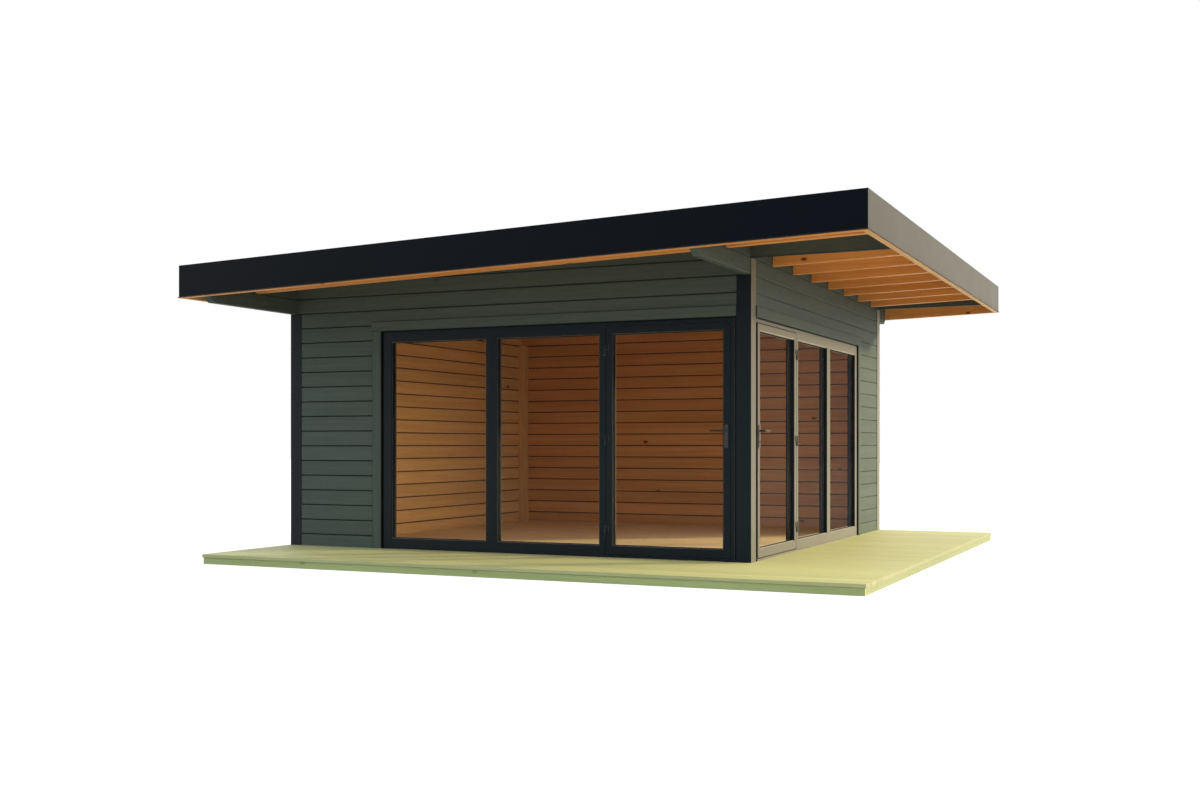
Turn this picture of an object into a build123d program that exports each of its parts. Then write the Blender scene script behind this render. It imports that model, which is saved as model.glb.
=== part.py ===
from build123d import *
import math
import os

os.makedirs("parts", exist_ok=True)

# Garden office: square log house, two glazed door units at one corner, mono-pitch roof, timber deck.
# Millimetres. Origin: middle of the house plan at ground level. +X right, +Y to the back, +Z up.

# House plan and log walls
HOUSE_WIDTH = 4600.0
HOUSE_DEPTH = 4600.0
LOG_THICK = 70.0
COURSE = 139.0
GROOVE_DEPTH = 6.0
LINTEL_LEAST = 150.0
PURLIN_BEVEL = 48.0

# Corner posts and their metal angles
CORNER_FACE = 125.0
COVER_THICK = 4.0
INNER_POST = 95.0

# Floor and deck
BEARER_HEIGHT = 57.0
BEARER_WIDTH = 70.0
BEARER_BAYS = 8
BOARD_THICK = 28.0
DECK_FRONT = 1200.0
DECK_RIGHT = 1220.0
DECK_LEFT = 15.0
DECK_LIP = 8.0
SKIRT_THICK = 24.0
SIDE_JOISTS = 3

# Roof
RAFTER_HEIGHT = 120.0
RAFTER_WIDTH = 70.0
RAFTER_PITCH = 600.0
ROOF_LEFT = 235.0
ROOF_RIGHT = 1245.0
ROOF_FRONT = 1248.0
ROOF_REAR = 348.0
ROOF_BOARD = 20.0
KERB_HEIGHT = 55.0
KERB_WIDTH = 60.0
MEMBRANE = 3.0
RIM_THICK = 45.0
RIM_DROP = 4.0
FASCIA_HEIGHT = 283.0
FASCIA_THICK = 3.0
FASCIA_CAP = 70.0
DRIP_OUT = 10.0

# Door units: one swinging leaf at the near corner, then the fixed lights
FIXED_LIGHTS = 2
UNIT_WIDTH = 3440.0
UNIT_HEIGHT = 2000.0
FRAME_FACE = 30.0
HEAD_FACE = 38.0
SILL_RISE = 17.0
FLANGE = 20.0
FLANGE_RECESS = 25.0
TOP_FLANGE = 12.0
PACKER = 45.0
LEAF_GAP = 8.0
LEAF_PROUD = 1.5
LEAF_THICK = 60.0
STILE = 60.0
TOP_RAIL = 60.0
BOTTOM_RAIL = 75.0
STOP_LAP = 8.0
STOP_THICK = 5.0
GLASS_THICK = 24.0
GLASS_POCKET = 12.0
GLAZING_BEVEL = 6.0
CASING_WIDTH = 95.0
CASING_HEAD = 91.0
CASING_THICK = 16.0
CASING_EAR = 12.0

# Hinges and lever handles
HINGE_RADIUS = 6.5
HINGE_STANDOFF = 1.0
HINGE_PIN = 4.0
PIN_CLEARANCE = 0.1
KNUCKLE = 45.0
KNUCKLE_GAP = 0.5
HINGE_FLAG = 30.0
FLAG_THICK = 5.0
HINGE_HEIGHT_SHARES = (0.1, 0.5, 0.9)
LEVER_HEIGHT = 1071.0
LEVER_LENGTH = 125.0
LEVER_RADIUS = 8.0
LEVER_BEND = 14.0
LEVER_ROUND = 3.0
LEVER_REACH = 45.0
LEVER_GAP = 0.5
SPINDLE_RADIUS = 4.0
PLATE_WIDTH = 30.0
PLATE_ABOVE = 48.0
PLATE_BELOW = 140.0
PLATE_THICK = 8.0

# Reach of cuts past the faces that they open
OVERRUN = 50.0

# Places that follow from the sizes above
RIGHT = HOUSE_WIDTH / 2
LEFT = -RIGHT
REAR = HOUSE_DEPTH / 2
FRONT = -REAR
WALL_RIGHT = RIGHT - COVER_THICK
WALL_LEFT = LEFT + COVER_THICK
WALL_FRONT = FRONT + COVER_THICK
WALL_REAR = REAR - COVER_THICK
ROOM_RIGHT = WALL_RIGHT - LOG_THICK
ROOM_LEFT = WALL_LEFT + LOG_THICK
ROOM_FRONT = WALL_FRONT + LOG_THICK
ROOM_REAR = WALL_REAR - LOG_THICK
FLOOR = BEARER_HEIGHT + BOARD_THICK
HEAD = FLOOR + UNIT_HEIGHT
WALL_COURSES = math.ceil((HEAD + LINTEL_LEAST - BEARER_HEIGHT) / COURSE)
LEFT_PURLIN = BEARER_HEIGHT + WALL_COURSES * COURSE
RIGHT_PURLIN = LEFT_PURLIN + COURSE
BEAM = RIGHT_PURLIN + COURSE
SLOPE = COURSE / HOUSE_WIDTH
TAPER_START = max(WALL_LEFT, LEFT + (COURSE - RAFTER_HEIGHT) / SLOPE)
BEARER_BAY = (WALL_RIGHT - WALL_LEFT - (BEARER_BAYS + 1) * BEARER_WIDTH) / BEARER_BAYS
EAVES = (LEFT - ROOF_LEFT, RIGHT + ROOF_RIGHT, FRONT - ROOF_FRONT, REAR + ROOF_REAR)
METAL = tuple(e + s * FASCIA_THICK for e, s in zip(EAVES, (1, -1, 1, -1)))
RIMS = tuple(e + s * RIM_THICK for e, s in zip(METAL, (1, -1, 1, -1)))
ROOF_TOP = RAFTER_HEIGHT + ROOF_BOARD
FASCIA_FOOT = ROOF_TOP + KERB_HEIGHT + FASCIA_THICK - FASCIA_HEIGHT
RIM_FOOT = FASCIA_FOOT - RIM_DROP
UNIT_NEAR = CORNER_FACE
UNIT_FAR = UNIT_NEAR + UNIT_WIDTH
WALL_START = UNIT_FAR + PACKER
PANEL_EDGE = RIGHT - WALL_START
SIDE_EDGE = FRONT + WALL_START
POST_EDGE = RIGHT - CORNER_FACE


def rafter_seat(x):
    """Height of the underside of the rafters, which climbs one log course over the house width."""
    return RIGHT_PURLIN + SLOPE * (x - LEFT)


def under_boards(x):
    """Height of the underside of the roof boards."""
    return rafter_seat(x) + RAFTER_HEIGHT


def keep(piece, name):
    """Labels a finished piece and writes it."""
    piece.part.label = name
    export_step(piece.part, f"parts/{name}.step")


def course_levels(top):
    """Joints between log courses up to a height."""
    count = math.ceil((top - BEARER_HEIGHT) / COURSE)
    return [BEARER_HEIGHT + n * COURSE for n in range(1, count + 1)]


def gable_top(x0, x1):
    """Top edge of a gable wall, right to left: level under the tapered beam, then down the slope."""
    bend = [(TAPER_START, BEAM)] if x0 < TAPER_START < x1 else []
    return [(x1, min(under_boards(x1), BEAM))] + bend + [(x0, min(under_boards(x0), BEAM))]


def log_wall_x(outline, outer, inward, levels):
    """Log wall along X: its outline carried through the log thickness, V joints on both faces."""
    faces = (outer, outer + inward * LOG_THICK)
    with BuildPart() as wall:
        with BuildSketch(Plane.XZ.offset(-outer)):
            with BuildLine():
                Polyline(*outline, close=True)
            make_face()
        extrude(amount=-inward * LOG_THICK)
        with BuildSketch(Plane.YZ.offset(EAVES[0])):
            with Locations(*[(face, level) for face in faces for level in levels]):
                RegularPolygon(GROOVE_DEPTH, 4)
        extrude(amount=EAVES[1] - EAVES[0], mode=Mode.SUBTRACT)
    return wall


def log_wall_y(outline, outer, inward, levels):
    """Log wall along Y: its outline carried through the log thickness, V joints on both faces."""
    faces = (outer, outer + inward * LOG_THICK)
    with BuildPart() as wall:
        with BuildSketch(Plane.YZ.offset(outer)):
            with BuildLine():
                Polyline(*outline, close=True)
            make_face()
        extrude(amount=inward * LOG_THICK)
        with BuildSketch(Plane.XZ.offset(-EAVES[2])):
            with Locations(*[(face, level) for face in faces for level in levels]):
                RegularPolygon(GROOVE_DEPTH, 4)
        extrude(amount=EAVES[2] - EAVES[3], mode=Mode.SUBTRACT)
    return wall


def rectangle_points(a0, a1, b0, b1):
    """Corners of a rectangle."""
    return [(a0, b0), (a1, b0), (a1, b1), (a0, b1)]


# Floor bearers: a ladder of timbers under the house
with BuildPart() as floor_bearers:
    with BuildSketch():
        Rectangle(WALL_RIGHT - WALL_LEFT, WALL_REAR - WALL_FRONT)
        with GridLocations(BEARER_BAY + BEARER_WIDTH, 0, BEARER_BAYS, 1):
            Rectangle(BEARER_BAY, WALL_REAR - WALL_FRONT - 2 * BEARER_WIDTH, mode=Mode.SUBTRACT)
    extrude(amount=BEARER_HEIGHT)
keep(floor_bearers, "floor_bearers")

# Floor boards, cut out round the near post
with BuildPart() as floor_boards:
    with BuildSketch(Plane.XY.offset(BEARER_HEIGHT)):
        Rectangle(ROOM_RIGHT - ROOM_LEFT, ROOM_REAR - ROOM_FRONT)
        with Locations((RIGHT, FRONT)):
            Rectangle(2 * CORNER_FACE, 2 * CORNER_FACE, mode=Mode.SUBTRACT)
    extrude(amount=BOARD_THICK)
keep(floor_boards, "floor_boards")

# Deck: boards on joists, with a skirt set back under the board ends
DECK_START_X = LEFT - DECK_LEFT
DECK_EDGE_X = RIGHT + DECK_RIGHT
DECK_EDGE_Y = FRONT - DECK_FRONT
SKIRT_LEFT = DECK_START_X + DECK_LIP
SKIRT_RIGHT = DECK_EDGE_X - DECK_LIP
SKIRT_FRONT = DECK_EDGE_Y + DECK_LIP
SKIRT_REAR = REAR - DECK_LIP

with BuildPart() as deck_boards:
    with BuildSketch(Plane.XY.offset(BEARER_HEIGHT)):
        with BuildLine():
            Polyline(
                (DECK_START_X, DECK_EDGE_Y),
                (DECK_EDGE_X, DECK_EDGE_Y),
                (DECK_EDGE_X, REAR),
                (WALL_RIGHT, REAR),
                (WALL_RIGHT, WALL_FRONT),
                (DECK_START_X, WALL_FRONT),
                close=True,
            )
        make_face()
    extrude(amount=BOARD_THICK)
keep(deck_boards, "deck_boards")

with BuildPart() as deck_skirt:
    with BuildSketch():
        for x0, x1, y0, y1 in (
            (SKIRT_LEFT, SKIRT_RIGHT, SKIRT_FRONT, SKIRT_FRONT + SKIRT_THICK),
            (SKIRT_RIGHT - SKIRT_THICK, SKIRT_RIGHT, SKIRT_FRONT, SKIRT_REAR),
            (SKIRT_LEFT, SKIRT_LEFT + SKIRT_THICK, SKIRT_FRONT, WALL_FRONT),
            (WALL_RIGHT, SKIRT_RIGHT, SKIRT_REAR - SKIRT_THICK, SKIRT_REAR),
        ):
            with BuildLine():
                Polyline(*rectangle_points(x0, x1, y0, y1), close=True)
            make_face()
    extrude(amount=BEARER_HEIGHT)
keep(deck_skirt, "deck_skirt")

with BuildPart() as deck_joists:
    joist_front = SKIRT_FRONT + SKIRT_THICK
    joist_rear = SKIRT_REAR - SKIRT_THICK
    side_width = SKIRT_RIGHT - SKIRT_THICK - WALL_RIGHT
    side_step = side_width / SIDE_JOISTS
    front_step = BEARER_BAY + BEARER_WIDTH
    front_rows = [WALL_LEFT + BEARER_WIDTH / 2 + n * front_step for n in range(1, BEARER_BAYS + 1)]
    side_rows = [WALL_RIGHT + (n + 0.5) * side_step for n in range(SIDE_JOISTS)]
    with BuildSketch():
        with Locations(*[(x, (joist_front + WALL_FRONT) / 2) for x in front_rows]):
            Rectangle(BEARER_WIDTH, WALL_FRONT - joist_front)
        with Locations(*[(x, (joist_front + joist_rear) / 2) for x in side_rows]):
            Rectangle(BEARER_WIDTH, joist_rear - joist_front)
    extrude(amount=BEARER_HEIGHT)
keep(deck_joists, "deck_joists")

# Log walls. The outline of the front and rear walls leaves a pocket for the left purlin.
PURLIN_POCKET = [
    (WALL_LEFT, rafter_seat(WALL_LEFT)),
    (ROOM_LEFT, rafter_seat(ROOM_LEFT)),
    (ROOM_LEFT, LEFT_PURLIN),
    (WALL_LEFT, LEFT_PURLIN),
]

front_wall = log_wall_x(
    [(WALL_LEFT, BEARER_HEIGHT), (PANEL_EDGE, BEARER_HEIGHT)]
    + gable_top(WALL_LEFT, PANEL_EDGE)
    + PURLIN_POCKET,
    WALL_FRONT,
    1,
    course_levels(BEAM),
)
keep(front_wall, "front_wall")

front_lintel = log_wall_x(
    [(PANEL_EDGE, HEAD), (POST_EDGE, HEAD), (POST_EDGE, RIGHT_PURLIN), (ROOM_RIGHT, RIGHT_PURLIN)]
    + gable_top(PANEL_EDGE, ROOM_RIGHT),
    WALL_FRONT,
    1,
    course_levels(BEAM),
)
keep(front_lintel, "front_lintel")

rear_wall = log_wall_x(
    [
        (WALL_LEFT, BEARER_HEIGHT),
        (WALL_RIGHT, BEARER_HEIGHT),
        (WALL_RIGHT, RIGHT_PURLIN),
        (ROOM_RIGHT, RIGHT_PURLIN),
    ]
    + gable_top(WALL_LEFT, ROOM_RIGHT)
    + PURLIN_POCKET,
    WALL_REAR,
    -1,
    course_levels(BEAM),
)
keep(rear_wall, "rear_wall")

left_wall = log_wall_y(
    rectangle_points(ROOM_FRONT, ROOM_REAR, BEARER_HEIGHT, LEFT_PURLIN),
    WALL_LEFT,
    1,
    course_levels(LEFT_PURLIN),
)
keep(left_wall, "left_wall")

side_wall = log_wall_y(
    rectangle_points(SIDE_EDGE, ROOM_REAR, BEARER_HEIGHT, RIGHT_PURLIN),
    WALL_RIGHT,
    -1,
    course_levels(RIGHT_PURLIN),
)
keep(side_wall, "side_wall")

side_lintel = log_wall_y(
    rectangle_points(FRONT + CORNER_FACE, SIDE_EDGE, HEAD, RIGHT_PURLIN),
    WALL_RIGHT,
    -1,
    course_levels(RIGHT_PURLIN),
)
keep(side_lintel, "side_lintel")


# Purlins: the top logs of the side walls run on to the rims, their ends bevelled below.
# Their top follows the rafters' underside.
def purlin(x0, x1, foot):
    """One purlin between two faces, from its foot to the rafters."""
    with BuildPart() as log:
        with BuildSketch(Plane.XZ.offset(-RIMS[2])):
            with BuildLine():
                Polyline((x0, foot), (x1, foot), (x1, rafter_seat(x1)), (x0, rafter_seat(x0)), close=True)
            make_face()
        extrude(amount=RIMS[2] - RIMS[3])
        ends = log.edges().filter_by(Axis.X).group_by(Axis.Z)[0]
        chamfer(ends, PURLIN_BEVEL)
        with BuildSketch(Plane.XZ.offset(-RIMS[2])):
            with Locations((x0, foot), (x1, foot)):
                RegularPolygon(GROOVE_DEPTH, 4)
        extrude(amount=RIMS[2] - RIMS[3], mode=Mode.SUBTRACT)
    return log


left_purlin = purlin(WALL_LEFT, ROOM_LEFT, LEFT_PURLIN)
keep(left_purlin, "left_purlin")

right_purlin = purlin(ROOM_RIGHT, WALL_RIGHT, RIGHT_PURLIN)
keep(right_purlin, "right_purlin")

# Tapered top courses of the front and rear walls, which run out under the right overhang
BEAM_OUTLINE = [(TAPER_START, BEAM), (RIMS[1], BEAM), (RIMS[1], under_boards(RIMS[1]))]
if under_boards(TAPER_START) > BEAM:
    BEAM_OUTLINE.append((TAPER_START, under_boards(TAPER_START)))

with BuildPart() as gable_beams:
    for outer, inward in ((WALL_FRONT, 1), (WALL_REAR, -1)):
        add(log_wall_x(BEAM_OUTLINE, outer, inward, [BEAM]).part)
keep(gable_beams, "gable_beams")

# Rafters at even spacing back from the front wall, one of them in the front overhang
FIRST_ROW = (WALL_FRONT + ROOM_FRONT) / 2
BEHIND_ROWS = math.floor((ROOM_REAR - FIRST_ROW - RAFTER_WIDTH) / RAFTER_PITCH)
AHEAD_ROWS = math.floor((FIRST_ROW - RIMS[2] - RAFTER_WIDTH) / RAFTER_PITCH)
RAFTER_ROWS = [FIRST_ROW + n * RAFTER_PITCH for n in range(-AHEAD_ROWS, BEHIND_ROWS + 1) if n]
UPHILL = Vector(1, 0, SLOPE)


def uphill_length(x0, x1):
    """Length along the slope between two places across the house."""
    return (x1 - x0) * UPHILL.length


with BuildPart() as rafters:
    with BuildSketch(Plane.YZ.offset(RIMS[0])):
        with Locations(*[(y, rafter_seat(RIMS[0]) + RAFTER_HEIGHT / 2) for y in RAFTER_ROWS]):
            Rectangle(RAFTER_WIDTH, RAFTER_HEIGHT)
    extrude(amount=uphill_length(RIMS[0], RIMS[1]), dir=UPHILL)
keep(rafters, "rafters")

# Short logs on the purlins that close the wall between the rafters
CROSSINGS = [(RIMS[2], RIMS[2]), (WALL_FRONT, ROOM_FRONT), (ROOM_REAR, WALL_REAR), (RIMS[3], RIMS[3])]
CROSSINGS += [(y - RAFTER_WIDTH / 2, y + RAFTER_WIDTH / 2) for y in RAFTER_ROWS]
CROSSINGS.sort()
BAYS = [(a[1], b[0]) for a, b in zip(CROSSINGS, CROSSINGS[1:])]

with BuildPart() as rafter_infill:
    for x0, x1 in ((WALL_LEFT, ROOM_LEFT), (ROOM_RIGHT, WALL_RIGHT)):
        for y0, y1 in BAYS:
            with BuildSketch(Plane.XZ.offset(-y0)):
                with BuildLine():
                    Polyline(
                        (x0, rafter_seat(x0)),
                        (x1, rafter_seat(x1)),
                        (x1, under_boards(x1)),
                        (x0, under_boards(x0)),
                        close=True,
                    )
                make_face()
            extrude(amount=y0 - y1)
keep(rafter_infill, "rafter_infill")

# Rims round the rafter ends
with BuildPart() as end_rims:
    for y0, y1 in ((METAL[2], RIMS[2]), (RIMS[3], METAL[3])):
        x0 = METAL[0]
        foot = rafter_seat(x0) + RIM_FOOT
        with BuildSketch(Plane.YZ.offset(x0)):
            with BuildLine():
                Polyline(*rectangle_points(y0, y1, foot, under_boards(x0)), close=True)
            make_face()
        extrude(amount=uphill_length(x0, METAL[1]), dir=UPHILL)
keep(end_rims, "end_rims")


def sloped_points(x0, x1, low, high):
    """Outline across the house between two heights above the rafters' underside."""
    return [
        (x0, rafter_seat(x0) + low),
        (x1, rafter_seat(x1) + low),
        (x1, rafter_seat(x1) + high),
        (x0, rafter_seat(x0) + high),
    ]


def sloped_slab(x0, x1, y0, y1, low, high):
    """Slab that lies along the roof slope."""
    with BuildPart() as slab:
        with BuildSketch(Plane.XZ.offset(-y0)):
            with BuildLine():
                Polyline(*sloped_points(x0, x1, low, high), close=True)
            make_face()
        extrude(amount=y0 - y1)
    return slab


with BuildPart() as side_rims:
    for x0, x1 in ((METAL[0], RIMS[0]), (RIMS[1], METAL[1])):
        with BuildSketch(Plane.XZ.offset(-RIMS[2])):
            with BuildLine():
                Polyline(*sloped_points(x0, x1, RIM_FOOT, RAFTER_HEIGHT), close=True)
            make_face()
        extrude(amount=RIMS[2] - RIMS[3])
keep(side_rims, "side_rims")

# Roof boards, the kerb round their edge and the membrane inside it
roof_boards = sloped_slab(*METAL, RAFTER_HEIGHT, ROOF_TOP)
keep(roof_boards, "roof_boards")

TRAY = tuple(e + s * KERB_WIDTH for e, s in zip(METAL, (1, -1, 1, -1)))

with BuildPart() as roof_kerb:
    with BuildSketch(Plane.XZ.offset(-METAL[2])):
        with BuildLine():
            Polyline(*sloped_points(METAL[0], METAL[1], ROOF_TOP, ROOF_TOP + KERB_HEIGHT), close=True)
        make_face()
    extrude(amount=METAL[2] - METAL[3])
    with BuildSketch(Plane.XY.offset(rafter_seat(METAL[0]))):
        with BuildLine():
            Polyline(*rectangle_points(*TRAY), close=True)
        make_face()
    extrude(amount=under_boards(METAL[1]) + ROOF_TOP, mode=Mode.SUBTRACT)
keep(roof_kerb, "roof_kerb")

roof_membrane = sloped_slab(*TRAY, ROOF_TOP, ROOF_TOP + MEMBRANE)
keep(roof_membrane, "roof_membrane")


# Fascia: folded metal with a cap over the kerb and a drip kicked out at its foot
def fascia_points(edge, outward, foot):
    """Section of the fascia: distances run in from the roof edge, heights up from the foot."""
    section = [
        (0, FASCIA_HEIGHT),
        (FASCIA_CAP, FASCIA_HEIGHT),
        (FASCIA_CAP, FASCIA_HEIGHT - FASCIA_THICK),
        (FASCIA_THICK, FASCIA_HEIGHT - FASCIA_THICK),
        (FASCIA_THICK, DRIP_OUT),
        (FASCIA_THICK - DRIP_OUT, 0),
        (-DRIP_OUT, 0),
        (0, DRIP_OUT),
    ]
    return [(edge - outward * inset, foot(inset) + height) for inset, height in section]


def mitre(corner_x, corner_y, side_x, side_y):
    """Upright plane through a roof corner that faces the piece to keep."""
    return Plane(origin=(corner_x, corner_y, 0), z_dir=(side_x, side_y, 0))


def long_fascia(edge, outward):
    """Fascia along the slope at the front or rear edge, mitred at both corners."""
    start = EAVES[0] - DRIP_OUT
    foot = rafter_seat(start) + FASCIA_FOOT
    with BuildPart() as metal:
        with BuildSketch(Plane.YZ.offset(start)):
            with BuildLine():
                Polyline(*fascia_points(edge, outward, lambda inset: foot), close=True)
            make_face()
        extrude(amount=uphill_length(start, EAVES[1] + DRIP_OUT), dir=UPHILL)
        split(bisect_by=mitre(EAVES[0], edge, 1, outward))
        split(bisect_by=mitre(EAVES[1], edge, -1, outward))
    return metal


def side_fascia(edge, outward):
    """Level fascia at the left or right edge, mitred at both corners."""

    def foot(inset):
        return rafter_seat(edge - outward * inset) + FASCIA_FOOT

    with BuildPart() as metal:
        with BuildSketch(Plane.XZ.offset(DRIP_OUT - EAVES[2])):
            with BuildLine():
                Polyline(*fascia_points(edge, outward, foot), close=True)
            make_face()
        extrude(amount=EAVES[2] - EAVES[3] - 2 * DRIP_OUT)
        split(bisect_by=mitre(edge, EAVES[2], outward, 1))
        split(bisect_by=mitre(edge, EAVES[3], outward, -1))
    return metal


front_fascia = long_fascia(EAVES[2], -1)
keep(front_fascia, "front_fascia")
rear_fascia = long_fascia(EAVES[3], 1)
keep(rear_fascia, "rear_fascia")
left_fascia = side_fascia(EAVES[0], -1)
keep(left_fascia, "left_fascia")
right_fascia = side_fascia(EAVES[1], 1)
keep(right_fascia, "right_fascia")

# Near corner post between the two door units, and square posts inside the other corners
with BuildPart() as near_post:
    with BuildSketch(Plane.XY.offset(BEARER_HEIGHT)):
        with BuildLine():
            Polyline(*rectangle_points(POST_EDGE, WALL_RIGHT, WALL_FRONT, FRONT + CORNER_FACE), close=True)
        make_face()
    extrude(amount=RIGHT_PURLIN - BEARER_HEIGHT)
keep(near_post, "near_post")

with BuildPart() as inner_posts:
    with BuildSketch(Plane.XY.offset(FLOOR)):
        for x, y in ((ROOM_LEFT, ROOM_FRONT), (ROOM_LEFT, ROOM_REAR), (ROOM_RIGHT, ROOM_REAR)):
            with Locations((x - math.copysign(INNER_POST / 2, x), y - math.copysign(INNER_POST / 2, y))):
                Rectangle(INNER_POST, INNER_POST)
    extrude(amount=LEFT_PURLIN - FLOOR)
keep(inner_posts, "inner_posts")


def corner_cover(x, y, end_top, side_top):
    """Metal angle on an outer corner: one leg on the front or rear face, one on the side face."""
    across = -math.copysign(1, x)
    along = -math.copysign(1, y)
    legs = ((CORNER_FACE, COVER_THICK, end_top), (COVER_THICK, CORNER_FACE, side_top))
    with BuildPart() as cover:
        for leg_x, leg_y, top in legs:
            with BuildSketch(Plane.XY.offset(FLOOR)):
                with Locations((x + across * leg_x / 2, y + along * leg_y / 2)):
                    Rectangle(leg_x, leg_y)
            extrude(amount=top - FLOOR)
    return cover


near_cover = corner_cover(RIGHT, FRONT, RIGHT_PURLIN, BEAM - GROOVE_DEPTH)
keep(near_cover, "near_cover")
rear_right_cover = corner_cover(RIGHT, REAR, RIGHT_PURLIN, BEAM - GROOVE_DEPTH)
keep(rear_right_cover, "rear_right_cover")
front_left_cover = corner_cover(LEFT, FRONT, LEFT_PURLIN, RIGHT_PURLIN - GROOVE_DEPTH)
keep(front_left_cover, "front_left_cover")
rear_left_cover = corner_cover(LEFT, REAR, LEFT_PURLIN, RIGHT_PURLIN - GROOVE_DEPTH)
keep(rear_left_cover, "rear_left_cover")

# Door units. Both are laid out from the near corner: u runs along the wall, v runs in from the
# corner's outer face, z up from the ground. The front unit is the mirror image of the side unit.
FRAME_OUT = COVER_THICK
FRAME_IN = COVER_THICK + LOG_THICK
JAMB_NEAR = UNIT_NEAR + FLANGE
JAMB_FAR = UNIT_FAR - FLANGE
CLEAR_NEAR = JAMB_NEAR + FRAME_FACE
CLEAR_FAR = JAMB_FAR - FRAME_FACE
SILL_TOP = FLOOR + SILL_RISE
CLEAR_TOP = HEAD - HEAD_FACE
LEAF_OUT = FRAME_OUT - LEAF_PROUD
LEAF_IN = LEAF_OUT + LEAF_THICK
LEAF_WIDTH = (CLEAR_FAR - CLEAR_NEAR - 2 * LEAF_GAP) / (FIXED_LIGHTS + 1)
LEAF_NEAR = CLEAR_NEAR + LEAF_GAP
LEAF_FAR = LEAF_NEAR + LEAF_WIDTH
FIXED_NEAR = LEAF_FAR + LEAF_GAP
FIXED_WIDTH = (CLEAR_FAR - FIXED_NEAR) / FIXED_LIGHTS
FIXED_EDGES = [FIXED_NEAR + n * FIXED_WIDTH for n in range(FIXED_LIGHTS + 1)]
FIXED_SPANS = list(zip(FIXED_EDGES, FIXED_EDGES[1:]))
LEAF_LOW = SILL_TOP + LEAF_GAP
LEAF_HIGH = CLEAR_TOP - LEAF_GAP
GLASS_LOW = LEAF_LOW + BOTTOM_RAIL
GLASS_HIGH = LEAF_HIGH - TOP_RAIL
GLASS_OUT = LEAF_OUT + (LEAF_THICK - GLASS_THICK) / 2
GLASS_IN = GLASS_OUT + GLASS_THICK
STOP_OUT = FRAME_IN - STOP_THICK
HINGE_U = LEAF_FAR + LEAF_GAP / 2
HINGE_V = LEAF_OUT - HINGE_RADIUS - HINGE_STANDOFF
HINGE_LEVELS = [LEAF_LOW + share * (LEAF_HIGH - LEAF_LOW) for share in HINGE_HEIGHT_SHARES]
SPINDLE_U = LEAF_NEAR + STILE / 2
LEVER_Z = FLOOR + LEVER_HEIGHT


def block(turn, u, v, z, mode=Mode.ADD):
    """Box between pairs of u, v and z in the unit's own directions."""
    with Locations(((u[0] + u[1]) / 2, turn * (v[0] + v[1]) / 2, (z[0] + z[1]) / 2)):
        Box(u[1] - u[0], v[1] - v[0], z[1] - z[0], mode=mode)


def rod(turn, u, v, z, radius, mode=Mode.ADD):
    """Upright round bar about a point in the unit's own directions."""
    with Locations((u, turn * v, (z[0] + z[1]) / 2)):
        Cylinder(radius, z[1] - z[0], mode=mode)


def glazed_opening(plane, turn, u):
    """Cuts the bevelled sight opening of one light and the pocket that its pane sits in."""
    light = (u[0] + STILE, u[1] - STILE)
    block(turn, light, (LEAF_OUT - OVERRUN, LEAF_IN + OVERRUN), (GLASS_LOW, GLASS_HIGH), Mode.SUBTRACT)
    through = Axis((0, 0, 0), plane.y_dir)
    chamfer(edges(Select.NEW).filter_by(through, reverse=True), GLAZING_BEVEL)
    pane(turn, u, Mode.SUBTRACT)


def pane(turn, u, mode=Mode.ADD):
    """Sealed glass unit of one light, bedded in the pocket of its stiles and rails."""
    across = (u[0] + STILE - GLASS_POCKET, u[1] - STILE + GLASS_POCKET)
    block(turn, across, (GLASS_OUT, GLASS_IN), (GLASS_LOW - GLASS_POCKET, GLASS_HIGH + GLASS_POCKET), mode)


def door_frame(plane, turn, face_near):
    """Outer frame with stops behind the leaf. Its edges are set back, at the near jamb up to face_near."""
    depth = (FRAME_OUT, FRAME_IN)
    set_back = (FRAME_OUT + FLANGE_RECESS, FRAME_IN)
    height = (BEARER_HEIGHT, HEAD)
    stop = LEAF_GAP + STOP_LAP
    through = (FRAME_OUT - OVERRUN, FRAME_IN + OVERRUN)
    with BuildPart(plane) as frame:
        block(turn, (UNIT_NEAR, WALL_START), set_back, height)
        block(turn, (face_near, JAMB_FAR), depth, (BEARER_HEIGHT, CLEAR_TOP))
        block(turn, (JAMB_NEAR, JAMB_FAR), depth, (CLEAR_TOP, HEAD - TOP_FLANGE))
        block(turn, (CLEAR_NEAR, CLEAR_FAR), (through[0], STOP_OUT), (SILL_TOP, CLEAR_TOP), Mode.SUBTRACT)
        block(
            turn,
            (CLEAR_NEAR + stop, CLEAR_FAR - stop),
            through,
            (SILL_TOP + stop, CLEAR_TOP - stop),
            Mode.SUBTRACT,
        )
    return frame


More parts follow.
